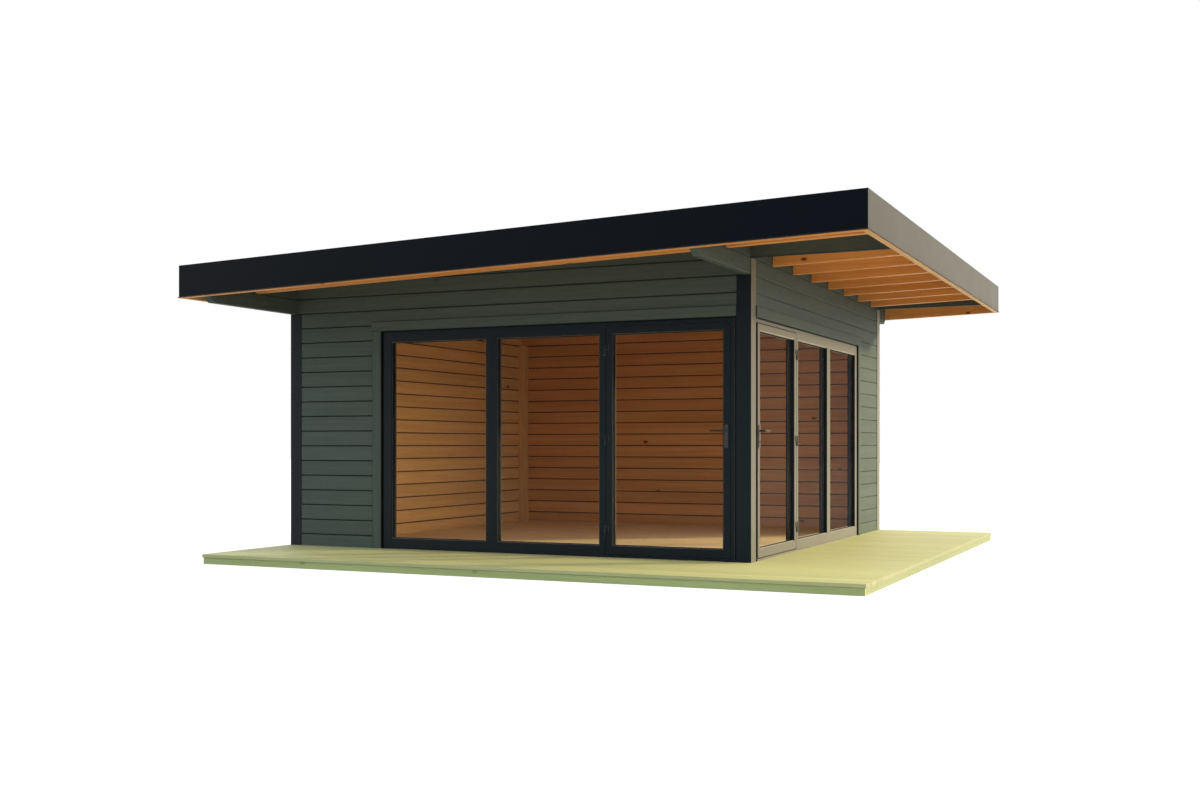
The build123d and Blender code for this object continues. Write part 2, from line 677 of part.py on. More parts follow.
def door_leaf(plane, turn):
    """Swinging leaf with its lever plates and the upper hinge knuckles."""
    plate_u = (SPINDLE_U - PLATE_WIDTH / 2, SPINDLE_U + PLATE_WIDTH / 2)
    plate_z = (LEVER_Z - PLATE_BELOW, LEVER_Z + PLATE_ABOVE)
    with BuildPart(plane) as leaf:
        block(turn, (LEAF_NEAR, LEAF_FAR), (LEAF_OUT, LEAF_IN), (LEAF_LOW, LEAF_HIGH))
        glazed_opening(plane, turn, (LEAF_NEAR, LEAF_FAR))
        block(turn, plate_u, (LEAF_OUT - PLATE_THICK, LEAF_OUT), plate_z)
        block(turn, plate_u, (LEAF_IN, LEAF_IN + PLATE_THICK), plate_z)
        with Locations(Location((SPINDLE_U, turn * (LEAF_OUT + LEAF_IN) / 2, LEVER_Z), (90, 0, 0))):
            Cylinder(SPINDLE_RADIUS + PIN_CLEARANCE, LEAF_THICK + 2 * OVERRUN, mode=Mode.SUBTRACT)
        for level in HINGE_LEVELS:
            knuckle = (level + KNUCKLE_GAP, level + KNUCKLE_GAP + KNUCKLE)
            rod(turn, HINGE_U, HINGE_V, knuckle, HINGE_RADIUS)
            block(turn, (HINGE_U - HINGE_FLAG, HINGE_U), (LEAF_OUT - FLAG_THICK, LEAF_OUT), knuckle)
            rod(turn, HINGE_U, HINGE_V, knuckle, HINGE_PIN + PIN_CLEARANCE, Mode.SUBTRACT)
    return leaf


def fixed_leaves(plane, turn):
    """Fixed lights in one unit, with a lap strip behind the leaf's gap and the hinge pins."""
    strip = (FIXED_NEAR, FIXED_NEAR + STILE / 2)
    lap = (LEAF_FAR - STOP_LAP, FIXED_NEAR + STILE / 2)
    inside = (SILL_TOP + LEAF_GAP + STOP_LAP, CLEAR_TOP - LEAF_GAP - STOP_LAP)
    with BuildPart(plane) as leaves:
        block(turn, (FIXED_NEAR, CLEAR_FAR), (LEAF_OUT, LEAF_IN), (SILL_TOP, CLEAR_TOP))
        for span in FIXED_SPANS:
            glazed_opening(plane, turn, span)
        block(turn, strip, (LEAF_IN, FRAME_IN), inside)
        block(turn, lap, (STOP_OUT, FRAME_IN), inside)
        for level in HINGE_LEVELS:
            knuckle = (level - KNUCKLE, level)
            rod(turn, HINGE_U, HINGE_V, knuckle, HINGE_RADIUS)
            rod(turn, HINGE_U, HINGE_V, (level - KNUCKLE, level + KNUCKLE), HINGE_PIN)
            block(turn, (HINGE_U, HINGE_U + HINGE_FLAG), (LEAF_OUT - FLAG_THICK, LEAF_OUT), knuckle)
    return leaves


def glass(plane, turn, lights):
    """Panes of the given lights."""
    with BuildPart(plane) as panes:
        for u in lights:
            pane(turn, u)
    return panes


def lever(plane, turn):
    """Pair of bent levers on one spindle through the leaf, their ends rounded."""
    level = plane.offset(LEVER_Z)
    along = Axis(plane.origin, plane.x_dir)
    faces = ((LEAF_OUT - PLATE_THICK - LEVER_GAP, -1), (LEAF_IN + PLATE_THICK + LEVER_GAP, 1))
    with BuildPart() as handle:
        for face, away in faces:
            grip = face + away * LEVER_REACH
            with BuildLine(level) as path:
                FilletPolyline(
                    (SPINDLE_U, turn * face),
                    (SPINDLE_U, turn * grip),
                    (SPINDLE_U + LEVER_LENGTH, turn * grip),
                    radius=LEVER_BEND,
                )
            with BuildSketch(Plane(origin=path.line @ 0, z_dir=path.line % 0)):
                Circle(LEVER_RADIUS)
            sweep(path=path.line)
        fillet(handle.edges().filter_by(GeomType.CIRCLE).group_by(along)[-1], LEVER_ROUND)
        spindle = level.from_local_coords((SPINDLE_U, turn * faces[0][0], 0))
        with BuildSketch(Plane(origin=spindle, z_dir=turn * level.y_dir)):
            Circle(SPINDLE_RADIUS)
        extrude(amount=faces[1][0] - faces[0][0])
    return handle


def casing(plane, turn):
    """Painted boards round the far side and the top of a unit, the head board longer than the upright."""
    depth = (FRAME_OUT - CASING_THICK, FRAME_OUT)
    far = UNIT_FAR + CASING_WIDTH
    with BuildPart(plane) as boards:
        block(turn, (UNIT_FAR, far), depth, (FLOOR, HEAD))
        block(turn, (UNIT_NEAR, far + CASING_EAR), depth, (HEAD, HEAD + CASING_HEAD))
    return boards


UNITS = (
    ("front", Plane(origin=(RIGHT, FRONT, 0), x_dir=(-1, 0, 0), z_dir=(0, 0, 1)), -1, JAMB_NEAR),
    ("side", Plane(origin=(RIGHT, FRONT, 0), x_dir=(0, 1, 0), z_dir=(0, 0, 1)), 1, CLEAR_NEAR),
)

for name, plane, turn, face_near in UNITS:
    keep(door_frame(plane, turn, face_near), f"{name}_frame")
    keep(door_leaf(plane, turn), f"{name}_door_leaf")
    keep(fixed_leaves(plane, turn), f"{name}_fixed_leaves")
    keep(glass(plane, turn, [(LEAF_NEAR, LEAF_FAR)]), f"{name}_door_glass")
    keep(glass(plane, turn, FIXED_SPANS), f"{name}_fixed_glass")
    keep(lever(plane, turn), f"{name}_lever")
    keep(casing(plane, turn), f"{name}_casing")
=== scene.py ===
import math

import bmesh
import bpy
import numpy as np
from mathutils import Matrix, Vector


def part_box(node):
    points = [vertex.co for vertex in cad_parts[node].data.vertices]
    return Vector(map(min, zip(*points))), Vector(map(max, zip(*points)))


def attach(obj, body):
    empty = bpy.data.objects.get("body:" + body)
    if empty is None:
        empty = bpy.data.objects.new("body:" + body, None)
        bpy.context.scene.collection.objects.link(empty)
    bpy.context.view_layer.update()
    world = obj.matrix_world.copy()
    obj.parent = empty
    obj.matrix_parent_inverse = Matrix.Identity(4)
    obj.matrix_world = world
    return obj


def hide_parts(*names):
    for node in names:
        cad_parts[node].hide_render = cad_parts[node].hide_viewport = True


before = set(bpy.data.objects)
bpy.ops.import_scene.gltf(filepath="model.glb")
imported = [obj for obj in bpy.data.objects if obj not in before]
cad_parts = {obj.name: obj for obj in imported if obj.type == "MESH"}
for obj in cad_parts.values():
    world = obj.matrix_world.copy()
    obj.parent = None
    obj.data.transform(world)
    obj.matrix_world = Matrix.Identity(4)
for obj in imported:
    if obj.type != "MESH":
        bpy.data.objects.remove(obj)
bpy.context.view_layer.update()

# Garden office: log walls, glazed units, roof and deck dressed in metres around the fixed frame.
draws = np.random.default_rng(20)

# Logs, posts and the easing of timber edges
LOG_JOINT = 0.014
LOG_PLAY = 0.0005
POST = 0.095
POST_ARRIS = 0.006
ARRIS = 0.003
FINE_ARRIS = 0.0015
LEAST_EASE = 0.02

# Roof timbers and roof sheet
RAFTER_PITCH = 0.600
RIM_THICK = 0.045
PURLIN_BEVEL = 0.048
ROOF_BOARD = 0.020
SOFFIT_ROWS = 63
SOFFIT_GROOVE = 0.004
SHEET_TOP = 0.003
SHEET_THICK = 0.002
SHEET_ROWS = 12
SHEET_ROW_INSET = 0.3
SHEET_LAPS = 5
LAP_WIDTH = 0.060
LAP_EDGE = 0.003
LAP_RISE = 0.002
UPSTAND = 0.050
COVE = 0.012
COVE_LEAN = 0.001

# Floor and deck
FLOOR_ROWS = 37
DECK_ROWS_FRONT = 8
DECK_ROWS_SIDE = 31
DECK_GAP = 0.005
SKIRT = 0.024

# Door units: leaves, glass, seals and casing
STILE = 0.060
BOTTOM_RAIL = 0.075
LEAF_DEPTH = 0.060
LEAF_GAP = 0.008
GLASS_POCKET = 0.012
GLASS_SHEET = 0.004
SPACER_SHOW = 0.003
SEAL_WIDTH = 0.006
SEAL_THICK = 0.004
BEAD_WIDTH = 0.012
BEAD_DEPTH = 0.018
GASKET = 0.005
GASKET_SET_BACK = 0.0005
JOINT_WIDTH = 0.020
JOINT_RECESS = 0.004
JOINT_DEPTH = 0.019
STRIP_THICK = 0.001
STRIP_SUNK = 0.0005
STRIP_DEPTH = 0.020
STRIP_ARRIS = 0.0002
CASING_WIDTH = 0.095
CASING_EAR = 0.012

# Lock plates and barrels
LEVER_RADIUS = 0.008
PLATE_HALF = 0.015
PLATE_ABOVE = 0.048
PLATE_BELOW = 0.140
PLATE_THICK = 0.008
PLATE_SKIN = 0.0003
BARREL_DROP = 0.092
BARREL_SIDES = 24
BARREL_RADII = (0.0085, 0.0085, 0.0078, 0.0045, 0.0045, 0.0)
BARREL_STEPS = (0.0, 0.0045, 0.0052, 0.0052, 0.0042, 0.0042)

# Studio: the way to the sun, and the colour and strength of each light
SUN = (0.7815, 0.5543, 0.2860)
KEY_COLOUR = (1.0, 0.83, 0.47)
KEY_POWER = 3.4
KEY_SPREAD = 3
FILL_COLOUR = (0.93, 1.0, 1.06, 1)
FILL_POWER = 1.0
WARM_COLOUR = (1.0, 0.81, 0.50, 1)
WARM_POWER = 5.0
WARM_FOCUS = 4.0
FLOOR_REACH = 60.0
FLOOR_DROP = 0.001
FLOOR_GREY = (0.36, 0.36, 0.36, 1)
FLOOR_GLOW = 0.84

# Camera: the picture's size, focal length and horizon in pixels, its place, and its turn in degrees
PICTURE = (1200, 805)
FOCAL = 1309.3
HORIZON = 444.4
SENSOR = 36.0
CAMERA = (5.632, -12.415, 1.0435)
YAW = 24.817


# Places read from the frame
def low(node):
    """Lowest corner of a node's box."""
    return np.array(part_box(node)[0])


def high(node):
    """Highest corner of a node's box."""
    return np.array(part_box(node)[1])


BASE = high("floor_bearers")[2]
DECK_TOP = high("deck_boards")[2]
RIGHT = high("near_cover")[0]
LEFT = low("front_left_cover")[0]
WALL_LEFT, WALL_FRONT = low("front_wall")[:2]
ROOM_FRONT = high("front_wall")[1]
PANEL_EDGE = high("front_wall")[0]
ROOM_LEFT = high("left_wall")[0]
WALL_RIGHT, WALL_REAR = high("rear_wall")[:2]
ROOM_REAR = low("rear_wall")[1]
ROOM_RIGHT, SIDE_EDGE = low("side_wall")[:2]
POST_RIGHT, POST_REAR = low("near_post")[0], high("near_post")[1]
HEAD = low("front_lintel")[2]
LEFT_PURLIN = high("left_wall")[2]
RIGHT_PURLIN = high("side_wall")[2]
BEAM = low("gable_beams")[2]
COURSE = RIGHT_PURLIN - LEFT_PURLIN
LOG = ROOM_LEFT - WALL_LEFT
SLOPE = COURSE / (RIGHT - LEFT)
METAL_LOW = low("roof_boards")
METAL_HIGH = high("roof_boards")
RIM_LOW = METAL_LOW + RIM_THICK
RIM_HIGH = METAL_HIGH - RIM_THICK


def seat(x):
    """Height of the rafters' underside, which climbs one course over the house width."""
    return RIGHT_PURLIN + SLOPE * (np.asarray(x) - LEFT)


RAFTER_HEIGHT = METAL_LOW[2] - float(seat(METAL_LOW[0]))
RIM_FOOT = low("end_rims")[2] - float(seat(METAL_LOW[0]))
LEVELS = BASE + COURSE * np.arange(int(round((BEAM - BASE) / COURSE)) + 1)
TAPER_START = LEFT + (COURSE - RAFTER_HEIGHT) / SLOPE


def under_boards(x):
    """Height of the underside of the roof boards: the rafters' underside and their height."""
    return seat(x) + RAFTER_HEIGHT


# Meshes worked out as arrays. The twelve points round a bar's section: which lie on the far side of its
# depth, which on the far edge of its width, which begin a face of the room side, and which way each is
# eased. Then the shares of the bevel by which three points ease a corner, and the points in a joint, which
# the timber darkens as painted shade.
SECTION_FAR = np.array([0, 0, 0, 0, 0, 0, 1, 1, 1, 1, 1, 1])
SECTION_EDGE = np.array([0, 0, 0, 1, 1, 1, 1, 1, 1, 0, 0, 0])
SECTION_BACK = np.array([0, 0, 0, 0, 0, 0, 1, 1, 1, 1, 1, 0])
SECTION_SIDE = np.array([1, 1, 1, -1, -1, -1, -1, -1, -1, 1, 1, 1])
ROUNDED = (np.array([1, 0.28, 0]), np.array([0, 0.28, 1]))
GROOVED = (np.array([0.7, 0.32, 0]), np.array([0, 0.12, 0.54]))
# Painted shade: the points in a log's V joint, and the edges of the casing boards, whose darkened outline
# stands in for their shadow lines.
LOG_SHADE = np.array([1, 1, 0, 0, 1, 1, 1, 1, 0, 0, 1, 1])
EDGE_SHADE = np.array([1, 0.6, 0, 0, 0.6, 1, 1, 1, 1, 1, 1, 1])
AXIS = {"x": 0, "y": 1, "z": 2}


def bars(ends, near, far, face, depth, bevel, axes, corner=ROUNDED):
    """Points of timber bars. A twelve-point section runs from near to far across the bar and from face
    through depth, and is carried through the stations in ends. Three points ease each corner by shares
    of the bevel, less in proportion on a bar thinner than three bevels. Each of ends, near and far holds
    one row a bar and one column a station; axes names the length, width and depth axes."""
    ends, near, far = np.broadcast_arrays(*(np.atleast_2d(a).astype(float) for a in (ends, near, far)))
    inset = np.tile(np.concatenate([corner[0], corner[0][::-1]]), 2)
    rise = SECTION_SIDE * np.tile(np.concatenate([corner[1], corner[1][::-1]]), 2)
    share = np.clip((far - near) / (3 * bevel), LEAST_EASE, 1)[..., None]
    across = near[..., None] * (1 - SECTION_EDGE) + far[..., None] * SECTION_EDGE + rise * bevel * share
    inward = SECTION_FAR * abs(depth) + (1 - 2 * SECTION_FAR) * inset * bevel
    deep = np.asarray(face, float).reshape(-1, 1, 1) + np.sign(depth) * inward
    points = np.empty(across.shape + (3,))
    points[..., AXIS[axes[0]]] = ends[..., None]
    points[..., AXIS[axes[1]]] = across
    points[..., AXIS[axes[2]]] = deep
    return points


def rings(near, far, section, wide):
    """Points of picture-frame bars: a section of (inward, deep) pairs carried round the four corners of
    an upright rectangle between near and far, mitred because each corner moves in along both sides."""
    corner = np.array([[0, 0], [1, 0], [1, 1], [0, 1]])
    points = np.empty((1, 4, len(section), 3))
    inward = section[None, :, 0]
    for axis, side in ((wide, corner[:, :1]), (2, corner[:, 1:])):
        points[0, ..., axis] = near[axis] * (1 - side) + far[axis] * side + (1 - 2 * side) * inward
    points[0, ..., 1 - wide] = section[None, :, 1]
    return points


def oblong(inward, deep):
    """Section with four corners, each pairing one of two inward places with one of two deep ones."""
    return np.array([(inward[0], deep[0]), (inward[1], deep[0]), (inward[1], deep[1]), (inward[0], deep[1])])


def shell(points, sides=0, caps=0, closed=False, shade=0):
    """Closed skin over carried sections: a quad between neighbours along and round the bar, and a cap on
    each end unless the path closes on itself. A point's number is its bar's first number, its station
    times the size of the section, and its place round the section, added up. sides and caps give each
    face's finish, and shade tells which points of the section lie in a joint, to be painted with shade."""
    count, stations, size, _ = points.shape
    start = np.arange(count)[:, None, None] * stations * size
    row = np.arange(stations if closed else stations - 1)[None, :, None]
    column = np.arange(size)[None, None, :]
    here = start + row * size
    after = start + (row + 1) % stations * size
    beside = (column + 1) % size
    quads = np.stack([here + column, here + beside, after + beside, after + column], axis=-1)
    faces = [quads.reshape(-1, 4)]
    finish = [np.broadcast_to(sides, quads.shape[:3]).reshape(-1)]
    if not closed:
        first = start[:, 0] + column[0]
        faces += [first, first + (stations - 1) * size]
        finish += [np.full(2 * count, caps)]
    seeds = np.repeat(draws.random(count), stations * size)
    joints = np.broadcast_to(shade, points.shape[:3]).reshape(-1)
    return points.reshape(-1, 3), faces, np.concatenate(finish), {"board": seeds, "joint": joints}


def piece(name, skins, finishes, body, nodes=()):
    """One object from several skins, numbered one after the other. Each vertex carries its bar's own
    random number and whether it lies in a joint, where the timber paints shade."""
    offset = 0
    faces = []
    for points, blocks, _, _ in skins:
        for block in blocks:
            faces += (block + offset).tolist()
        offset += len(points)
    mesh = bpy.data.meshes.new(name)
    mesh.from_pydata(np.concatenate([skin[0] for skin in skins]).tolist(), [], faces)
    finish = np.concatenate([skin[2] for skin in skins]).astype(np.int32)
    mesh.polygons.foreach_set("material_index", finish)
    for label in skins[0][3]:
        values = np.concatenate([skin[3][label] for skin in skins]).astype(np.float32)
        mesh.attributes.new(label, "FLOAT", "POINT").data.foreach_set("value", values)
    outward = bmesh.new()
    outward.from_mesh(mesh)
    bmesh.ops.recalc_face_normals(outward, faces=outward.faces)
    outward.to_mesh(mesh)
    outward.free()
    for material in finishes:
        mesh.materials.append(material)
    obj = bpy.data.objects.new(name, mesh)
    bpy.context.scene.collection.objects.link(obj)
    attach(obj, body)
    if nodes:
        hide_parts(*nodes)
    return obj


# Shader nodes
def put(tree, kind, inputs=None, **settings):
    """One shader node with its settings, its sockets set or linked."""
    node = tree.nodes.new(kind)
    for key, value in settings.items():
        setattr(node, key, value)
    for key, value in (inputs or {}).items():
        if isinstance(value, bpy.types.NodeSocket):
            tree.links.new(value, node.inputs[key])
        else:
            node.inputs[key].default_value = value
    return node


def blank(name):
    """New material with one surface shader, and its parts."""
    material = bpy.data.materials.new(name)
    material.use_nodes = True
    tree = material.node_tree
    tree.nodes.clear()
    surface = put(tree, "ShaderNodeBsdfPrincipled")
    output = put(tree, "ShaderNodeOutputMaterial", {"Surface": surface.outputs[0]})
    return material, tree, surface, output


def span(tree, value, given, wanted, smooth=False):
    """Socket that maps one range of a value to another, held at both ends."""
    kind = "SMOOTHSTEP" if smooth else "LINEAR"
    ends = {"From Min": given[0], "From Max": given[1], "To Min": wanted[0], "To Max": wanted[1]}
    return put(tree, "ShaderNodeMapRange", {"Value": value, **ends}, interpolation_type=kind).outputs[0]


def sums(tree, kind, a, b):
    """Socket of a sum, product, power or comparison of two values."""
    return put(tree, "ShaderNodeMath", {0: a, 1: b}, operation=kind).outputs[0]


def blend(tree, share, a, b, kind="MIX"):
    """Socket of two colours mixed by a share."""
    mix = put(tree, "ShaderNodeMix", data_type="RGBA", blend_type=kind)
    for socket, value in ((mix.inputs["Factor"], share), (mix.inputs[6], a), (mix.inputs[7], b)):
        if isinstance(value, bpy.types.NodeSocket):
            tree.links.new(value, socket)
        else:
            socket.default_value = value
    return mix.outputs[2]


def toned(tree, colour, level):
    """Socket of a colour times one level in all its channels."""
    grey = put(tree, "ShaderNodeCombineColor", {0: level, 1: level, 2: level}).outputs[0]
    return blend(tree, 1.0, colour, grey, "MULTIPLY")


def spot(tree):
    """Socket of the place on the piece, in metres."""
    return put(tree, "ShaderNodeTexCoord").outputs["Object"]


def mark(tree, name):
    """Socket of a number that each vertex carries."""
    return put(tree, "ShaderNodeAttribute", attribute_name=name).outputs["Fac"]


def noise(tree, place, **settings):
    """Socket of smooth noise at a place."""
    inputs = {key.capitalize(): value for key, value in settings.items()}
    return put(tree, "ShaderNodeTexNoise", {"Vector": place, **inputs}).outputs["Fac"]


def bumped(tree, surface, height, strength, distance):
    """Fine relief on a surface from a height."""
    inputs = {"Strength": strength, "Distance": distance, "Height": height}
    tree.links.new(put(tree, "ShaderNodeBump", inputs).outputs[0], surface.inputs["Normal"])


# Timber: waves a metre along and across the grain, and the ranges that the noise is read in
BAND_WAVES = (0.7, 24.0)
FIBRE_WAVES = (7.0, 260.0)
KNOT_WAVES = (3.0, 5.5)
THROUGH_WAVES = 0.03
BOARD_SHIFT = (17.0, 9.0, 13.0)
GRAIN_ROUGHNESS = 0.55
NOISE_RANGE = (0.3, 0.7)
BAND_RANGE = (0.36, 0.66)
KNOT_RANGE = (0.05, 0.12)
# Range of the joint mark over which the painted shade in a joint deepens.
JOINT_SHADE_RANGE = (0.0, 0.5)
FIBRE_TONE = (0.9, 1.06)
FIBRE_HEIGHT = 0.6
BAND_HEIGHT = 0.8
TIMBER_RELIEF = 0.002


def stretched(tree, along, waves, flat=None):
    """Place on a timber counted in waves along and across its grain, moved by the bar's own number. Along
    an axis named flat the place counts for almost nothing, so that marks go straight through the face."""
    shift = {0: BOARD_SHIFT, "Scale": mark(tree, "board")}
    away = put(tree, "ShaderNodeVectorMath", shift, operation="SCALE")
    moved = put(tree, "ShaderNodeVectorMath", {0: spot(tree), 1: away.outputs[0]}, operation="ADD")
    scale = [waves[1]] * 3
    scale[AXIS[along]] = waves[0]
    if flat:
        scale[AXIS[flat]] = THROUGH_WAVES
    return put(tree, "ShaderNodeVectorMath", {0: moved.outputs[0], 1: scale}, operation="MULTIPLY").outputs[0]


def knots_in(tree, place, knot_share):
    """Socket that is one in a knot: the middle of those cells whose random number passes the share."""
    cells = put(tree, "ShaderNodeTexVoronoi", {"Vector": place, "Scale": 1.0})
    chance = put(tree, "ShaderNodeSeparateColor", {"Color": cells.outputs["Color"]}).outputs[0]
    middle = span(tree, cells.outputs["Distance"], KNOT_RANGE, (1.0, 0.0), smooth=True)
    return sums(tree, "MULTIPLY", middle, sums(tree, "GREATER_THAN", chance, knot_share))


def timber(
    name,
    along,
    pale,
    dark,
    knot,
    flat=None,
    knot_share=0.86,
    tone=0.12,
    joint=0.3,
    rough=(0.45, 0.62),
    shine=0.2,
    relief=0.25,
):
    """Sawn and planed wood: growth bands and fibres drawn out along the grain, knots, a tone for each bar
    and painted shade in the joints between logs."""
    material, tree, surface, _ = blank(name)
    wood_noise = dict(scale=1.0, roughness=GRAIN_ROUGHNESS)
    bands = noise(tree, stretched(tree, along, BAND_WAVES), detail=3.0, distortion=0.5, **wood_noise)
    fibres = noise(tree, stretched(tree, along, FIBRE_WAVES), detail=2.0, **wood_noise)
    knots = knots_in(tree, stretched(tree, along, KNOT_WAVES, flat), knot_share)
    colour = blend(tree, span(tree, bands, BAND_RANGE, (0.0, 1.0), smooth=True), pale, dark)
    fibre_tone = span(tree, fibres, NOISE_RANGE, FIBRE_TONE)
    board_tone = span(tree, mark(tree, "board"), (0.0, 1.0), (1.0 - tone, 1.0 + tone))
    colour = toned(tree, colour, sums(tree, "MULTIPLY", fibre_tone, board_tone))
    colour = blend(tree, knots, colour, knot)
    # Painted shade: darker towards the bottom of each joint, down to the joint level.
    colour = toned(tree, colour, span(tree, mark(tree, "joint"), JOINT_SHADE_RANGE, (1.0, joint)))
    tree.links.new(colour, surface.inputs["Base Color"])
    tree.links.new(span(tree, fibres, NOISE_RANGE, rough[::-1]), surface.inputs["Roughness"])
    fibre_height = sums(tree, "MULTIPLY", fibres, FIBRE_HEIGHT)
    height = sums(tree, "ADD", fibre_height, sums(tree, "MULTIPLY", bands, BAND_HEIGHT))
    bumped(tree, surface, height, relief, TIMBER_RELIEF)
    surface.inputs["Specular IOR Level"].default_value = shine
    return material


# Powder coat, glass and rubber
PEEL_WAVES = 420.0
PEEL_RELIEF = 0.0005
PATCH_WAVES = 1.7
PATCH_TONE = (0.94, 1.06)
PATCH_ROUGH = 0.05
BLOOM_ROUGH = 0.42
BLOOM_TINT = (1.0, 0.94, 0.82, 1)
FILM_WAVES = 3.0
GLASS_TINTS = ((0.97, 0.98, 0.975, 1), (0.98, 0.985, 0.98, 1))
GLASS_ROUGH = 0.01
GLASS_SHINE = (0.003, 0.065)
SLANT_POWER = 5.0
PEBBLE_WAVES = 260.0
PEBBLE_RANGE = (0.0, 0.6)
PEBBLE_ROUGH = 0.1
PEBBLE_STRENGTH = 0.12
PEBBLE_RELIEF = 0.001
DUST_WAVES = 0.9
DUST_RANGE = (0.35, 0.75)
DUST_LIFT = 1.22
RUBBER_SHINE = 0.12


def coated(name, colour, rough, speck=0.06, relief=0.05, shine=0.1, bloom=1.0):
    """Powder-coated metal: fine orange-peel relief, faint broad patches in tone and gloss, and the pale
    bloom that a textured coat shows at a slant."""
    material, tree, surface, _ = blank(name)
    peel = noise(tree, spot(tree), scale=PEEL_WAVES, detail=2.0)
    patch = noise(tree, spot(tree), scale=PATCH_WAVES, detail=3.0)
    specks = span(tree, peel, NOISE_RANGE, (-speck, speck))
    level = sums(tree, "ADD", specks, span(tree, patch, NOISE_RANGE, PATCH_TONE))
    gloss = span(tree, patch, NOISE_RANGE, (rough - PATCH_ROUGH, rough + PATCH_ROUGH))
    tree.links.new(toned(tree, colour, level), surface.inputs["Base Color"])
    tree.links.new(gloss, surface.inputs["Roughness"])
    bumped(tree, surface, peel, relief, PEEL_RELIEF)
    surface.inputs["Specular IOR Level"].default_value = shine
    surface.inputs["Sheen Weight"].default_value = bloom
    surface.inputs["Sheen Roughness"].default_value = BLOOM_ROUGH
    surface.inputs["Sheen Tint"].default_value = BLOOM_TINT
    return material


def pane_glass(name):
    """Clear sheet: mostly passed light with a faint tint, and a mirror shine that grows as a power of the
    slant."""
    material, tree, surface, output = blank(name)
    tree.nodes.remove(surface)
    tint = blend(tree, noise(tree, spot(tree), scale=FILM_WAVES, detail=2.0), *GLASS_TINTS)
    clear = put(tree, "ShaderNodeBsdfTransparent", {"Color": tint})
    mirror = put(tree, "ShaderNodeBsdfGlossy", {"Roughness": GLASS_ROUGH})
    slant = put(tree, "ShaderNodeLayerWeight", {"Blend": 0.5}).outputs["Facing"]
    share = span(tree, sums(tree, "POWER", slant, SLANT_POWER), (0.0, 1.0), GLASS_SHINE)
    mix = put(tree, "ShaderNodeMixShader", {0: share, 1: clear.outputs[0], 2: mirror.outputs[0]})
    tree.links.new(mix.outputs[0], output.inputs["Surface"])
    return material


def sheet_rubber(name, colour, rough):
    """Roofing sheet and seals: matt, finely pebbled, lightly dusted."""
    material, tree, surface, _ = blank(name)
    cells = put(tree, "ShaderNodeTexVoronoi", {"Vector": spot(tree), "Scale": PEBBLE_WAVES})
    pebble = cells.outputs["Distance"]
    dust = noise(tree, spot(tree), scale=DUST_WAVES, detail=7.0)
    dusty = [DUST_LIFT * channel for channel in colour[:3]] + [1]
    shade = blend(tree, span(tree, dust, DUST_RANGE, (0.0, 1.0)), colour, dusty)
    gloss = span(tree, pebble, PEBBLE_RANGE, (rough, rough + PEBBLE_ROUGH))
    tree.links.new(shade, surface.inputs["Base Color"])
    tree.links.new(gloss, surface.inputs["Roughness"])
    bumped(tree, surface, pebble, PEBBLE_STRENGTH, PEBBLE_RELIEF)
    surface.inputs["Specular IOR Level"].default_value = RUBBER_SHINE
    return material


# Finishes of this house. Paint along y has fainter painted shade in its joints, and bare wood along x is
# redder and darker as painted shade, for this light.
# Green paint on the logs; joint sets the painted shade in its joints.
GREEN = dict(
    pale=(0.089, 0.114, 0.102, 1),
    dark=(0.079, 0.1025, 0.0915, 1),
    knot=(0.066, 0.085, 0.074, 1),
    tone=0.05,
    joint=0.38,
    rough=(0.5, 0.62),
    shine=0.06,
    relief=0.18,
)
# Sunlit copy of the green: its joints get almost no painted shade.
SUNNY_GREEN = dict(GREEN, joint=0.9)
# Bare spruce: joint 0.05 paints the shade in its joints nearly black.
SPRUCE = dict(
    pale=(0.79, 0.475, 0.195, 1),
    dark=(0.71, 0.40, 0.152, 1),
    knot=(0.12, 0.045, 0.015, 1),
    knot_share=0.6,
    tone=0.08,
    joint=0.05,
)
# Rafters and end rims: spruce made more orange, and paler in red as painted light that makes up for the shade
# under the eaves.
LIFTED_ORANGE_SPRUCE = dict(SPRUCE, pale=(0.87, 0.40, 0.135, 1), dark=(0.77, 0.33, 0.10, 1))
# Inside walls along x: the same spruce made redder and darker as painted shade, for the less light they get.
SHADED_RED_SPRUCE = dict(SPRUCE, pale=(0.66, 0.312, 0.107, 1), dark=(0.58, 0.26, 0.08, 1))
PLANED = dict(
    pale=(0.84, 0.67, 0.43, 1),
    dark=(0.75, 0.58, 0.35, 1),
    knot=(0.24, 0.12, 0.05, 1),
    tone=0.06,
    shine=0.4,
)
DECKING = dict(
    pale=(0.52, 0.54, 0.275, 1),
    dark=(0.465, 0.49, 0.245, 1),
    knot=(0.36, 0.355, 0.16, 1),
    tone=0.05,
    relief=0.2,
)
DECK_ENDS = dict(DECKING, pale=(0.34, 0.35, 0.20, 1), dark=(0.30, 0.31, 0.175, 1))
SKIRTING = dict(
    pale=(0.44, 0.51, 0.222, 1),
    dark=(0.395, 0.46, 0.198, 1),
    knot=(0.28, 0.32, 0.12, 1),
    tone=0.04,
)
# Skirt along y: the same boards made darker as painted shade, against the sun on that side.
SHADED_SIDE_SKIRTING = dict(
    pale=(0.29, 0.33, 0.185, 1),
    dark=(0.26, 0.30, 0.165, 1),
    knot=(0.2, 0.22, 0.11, 1),
    tone=0.04,
)
PLATE = dict(rough=0.36, speck=0.03, relief=0.03, shine=0.3, bloom=0.6)
LEVER = dict(rough=0.32, speck=0.03, relief=0.02, shine=0.25, bloom=0.1)

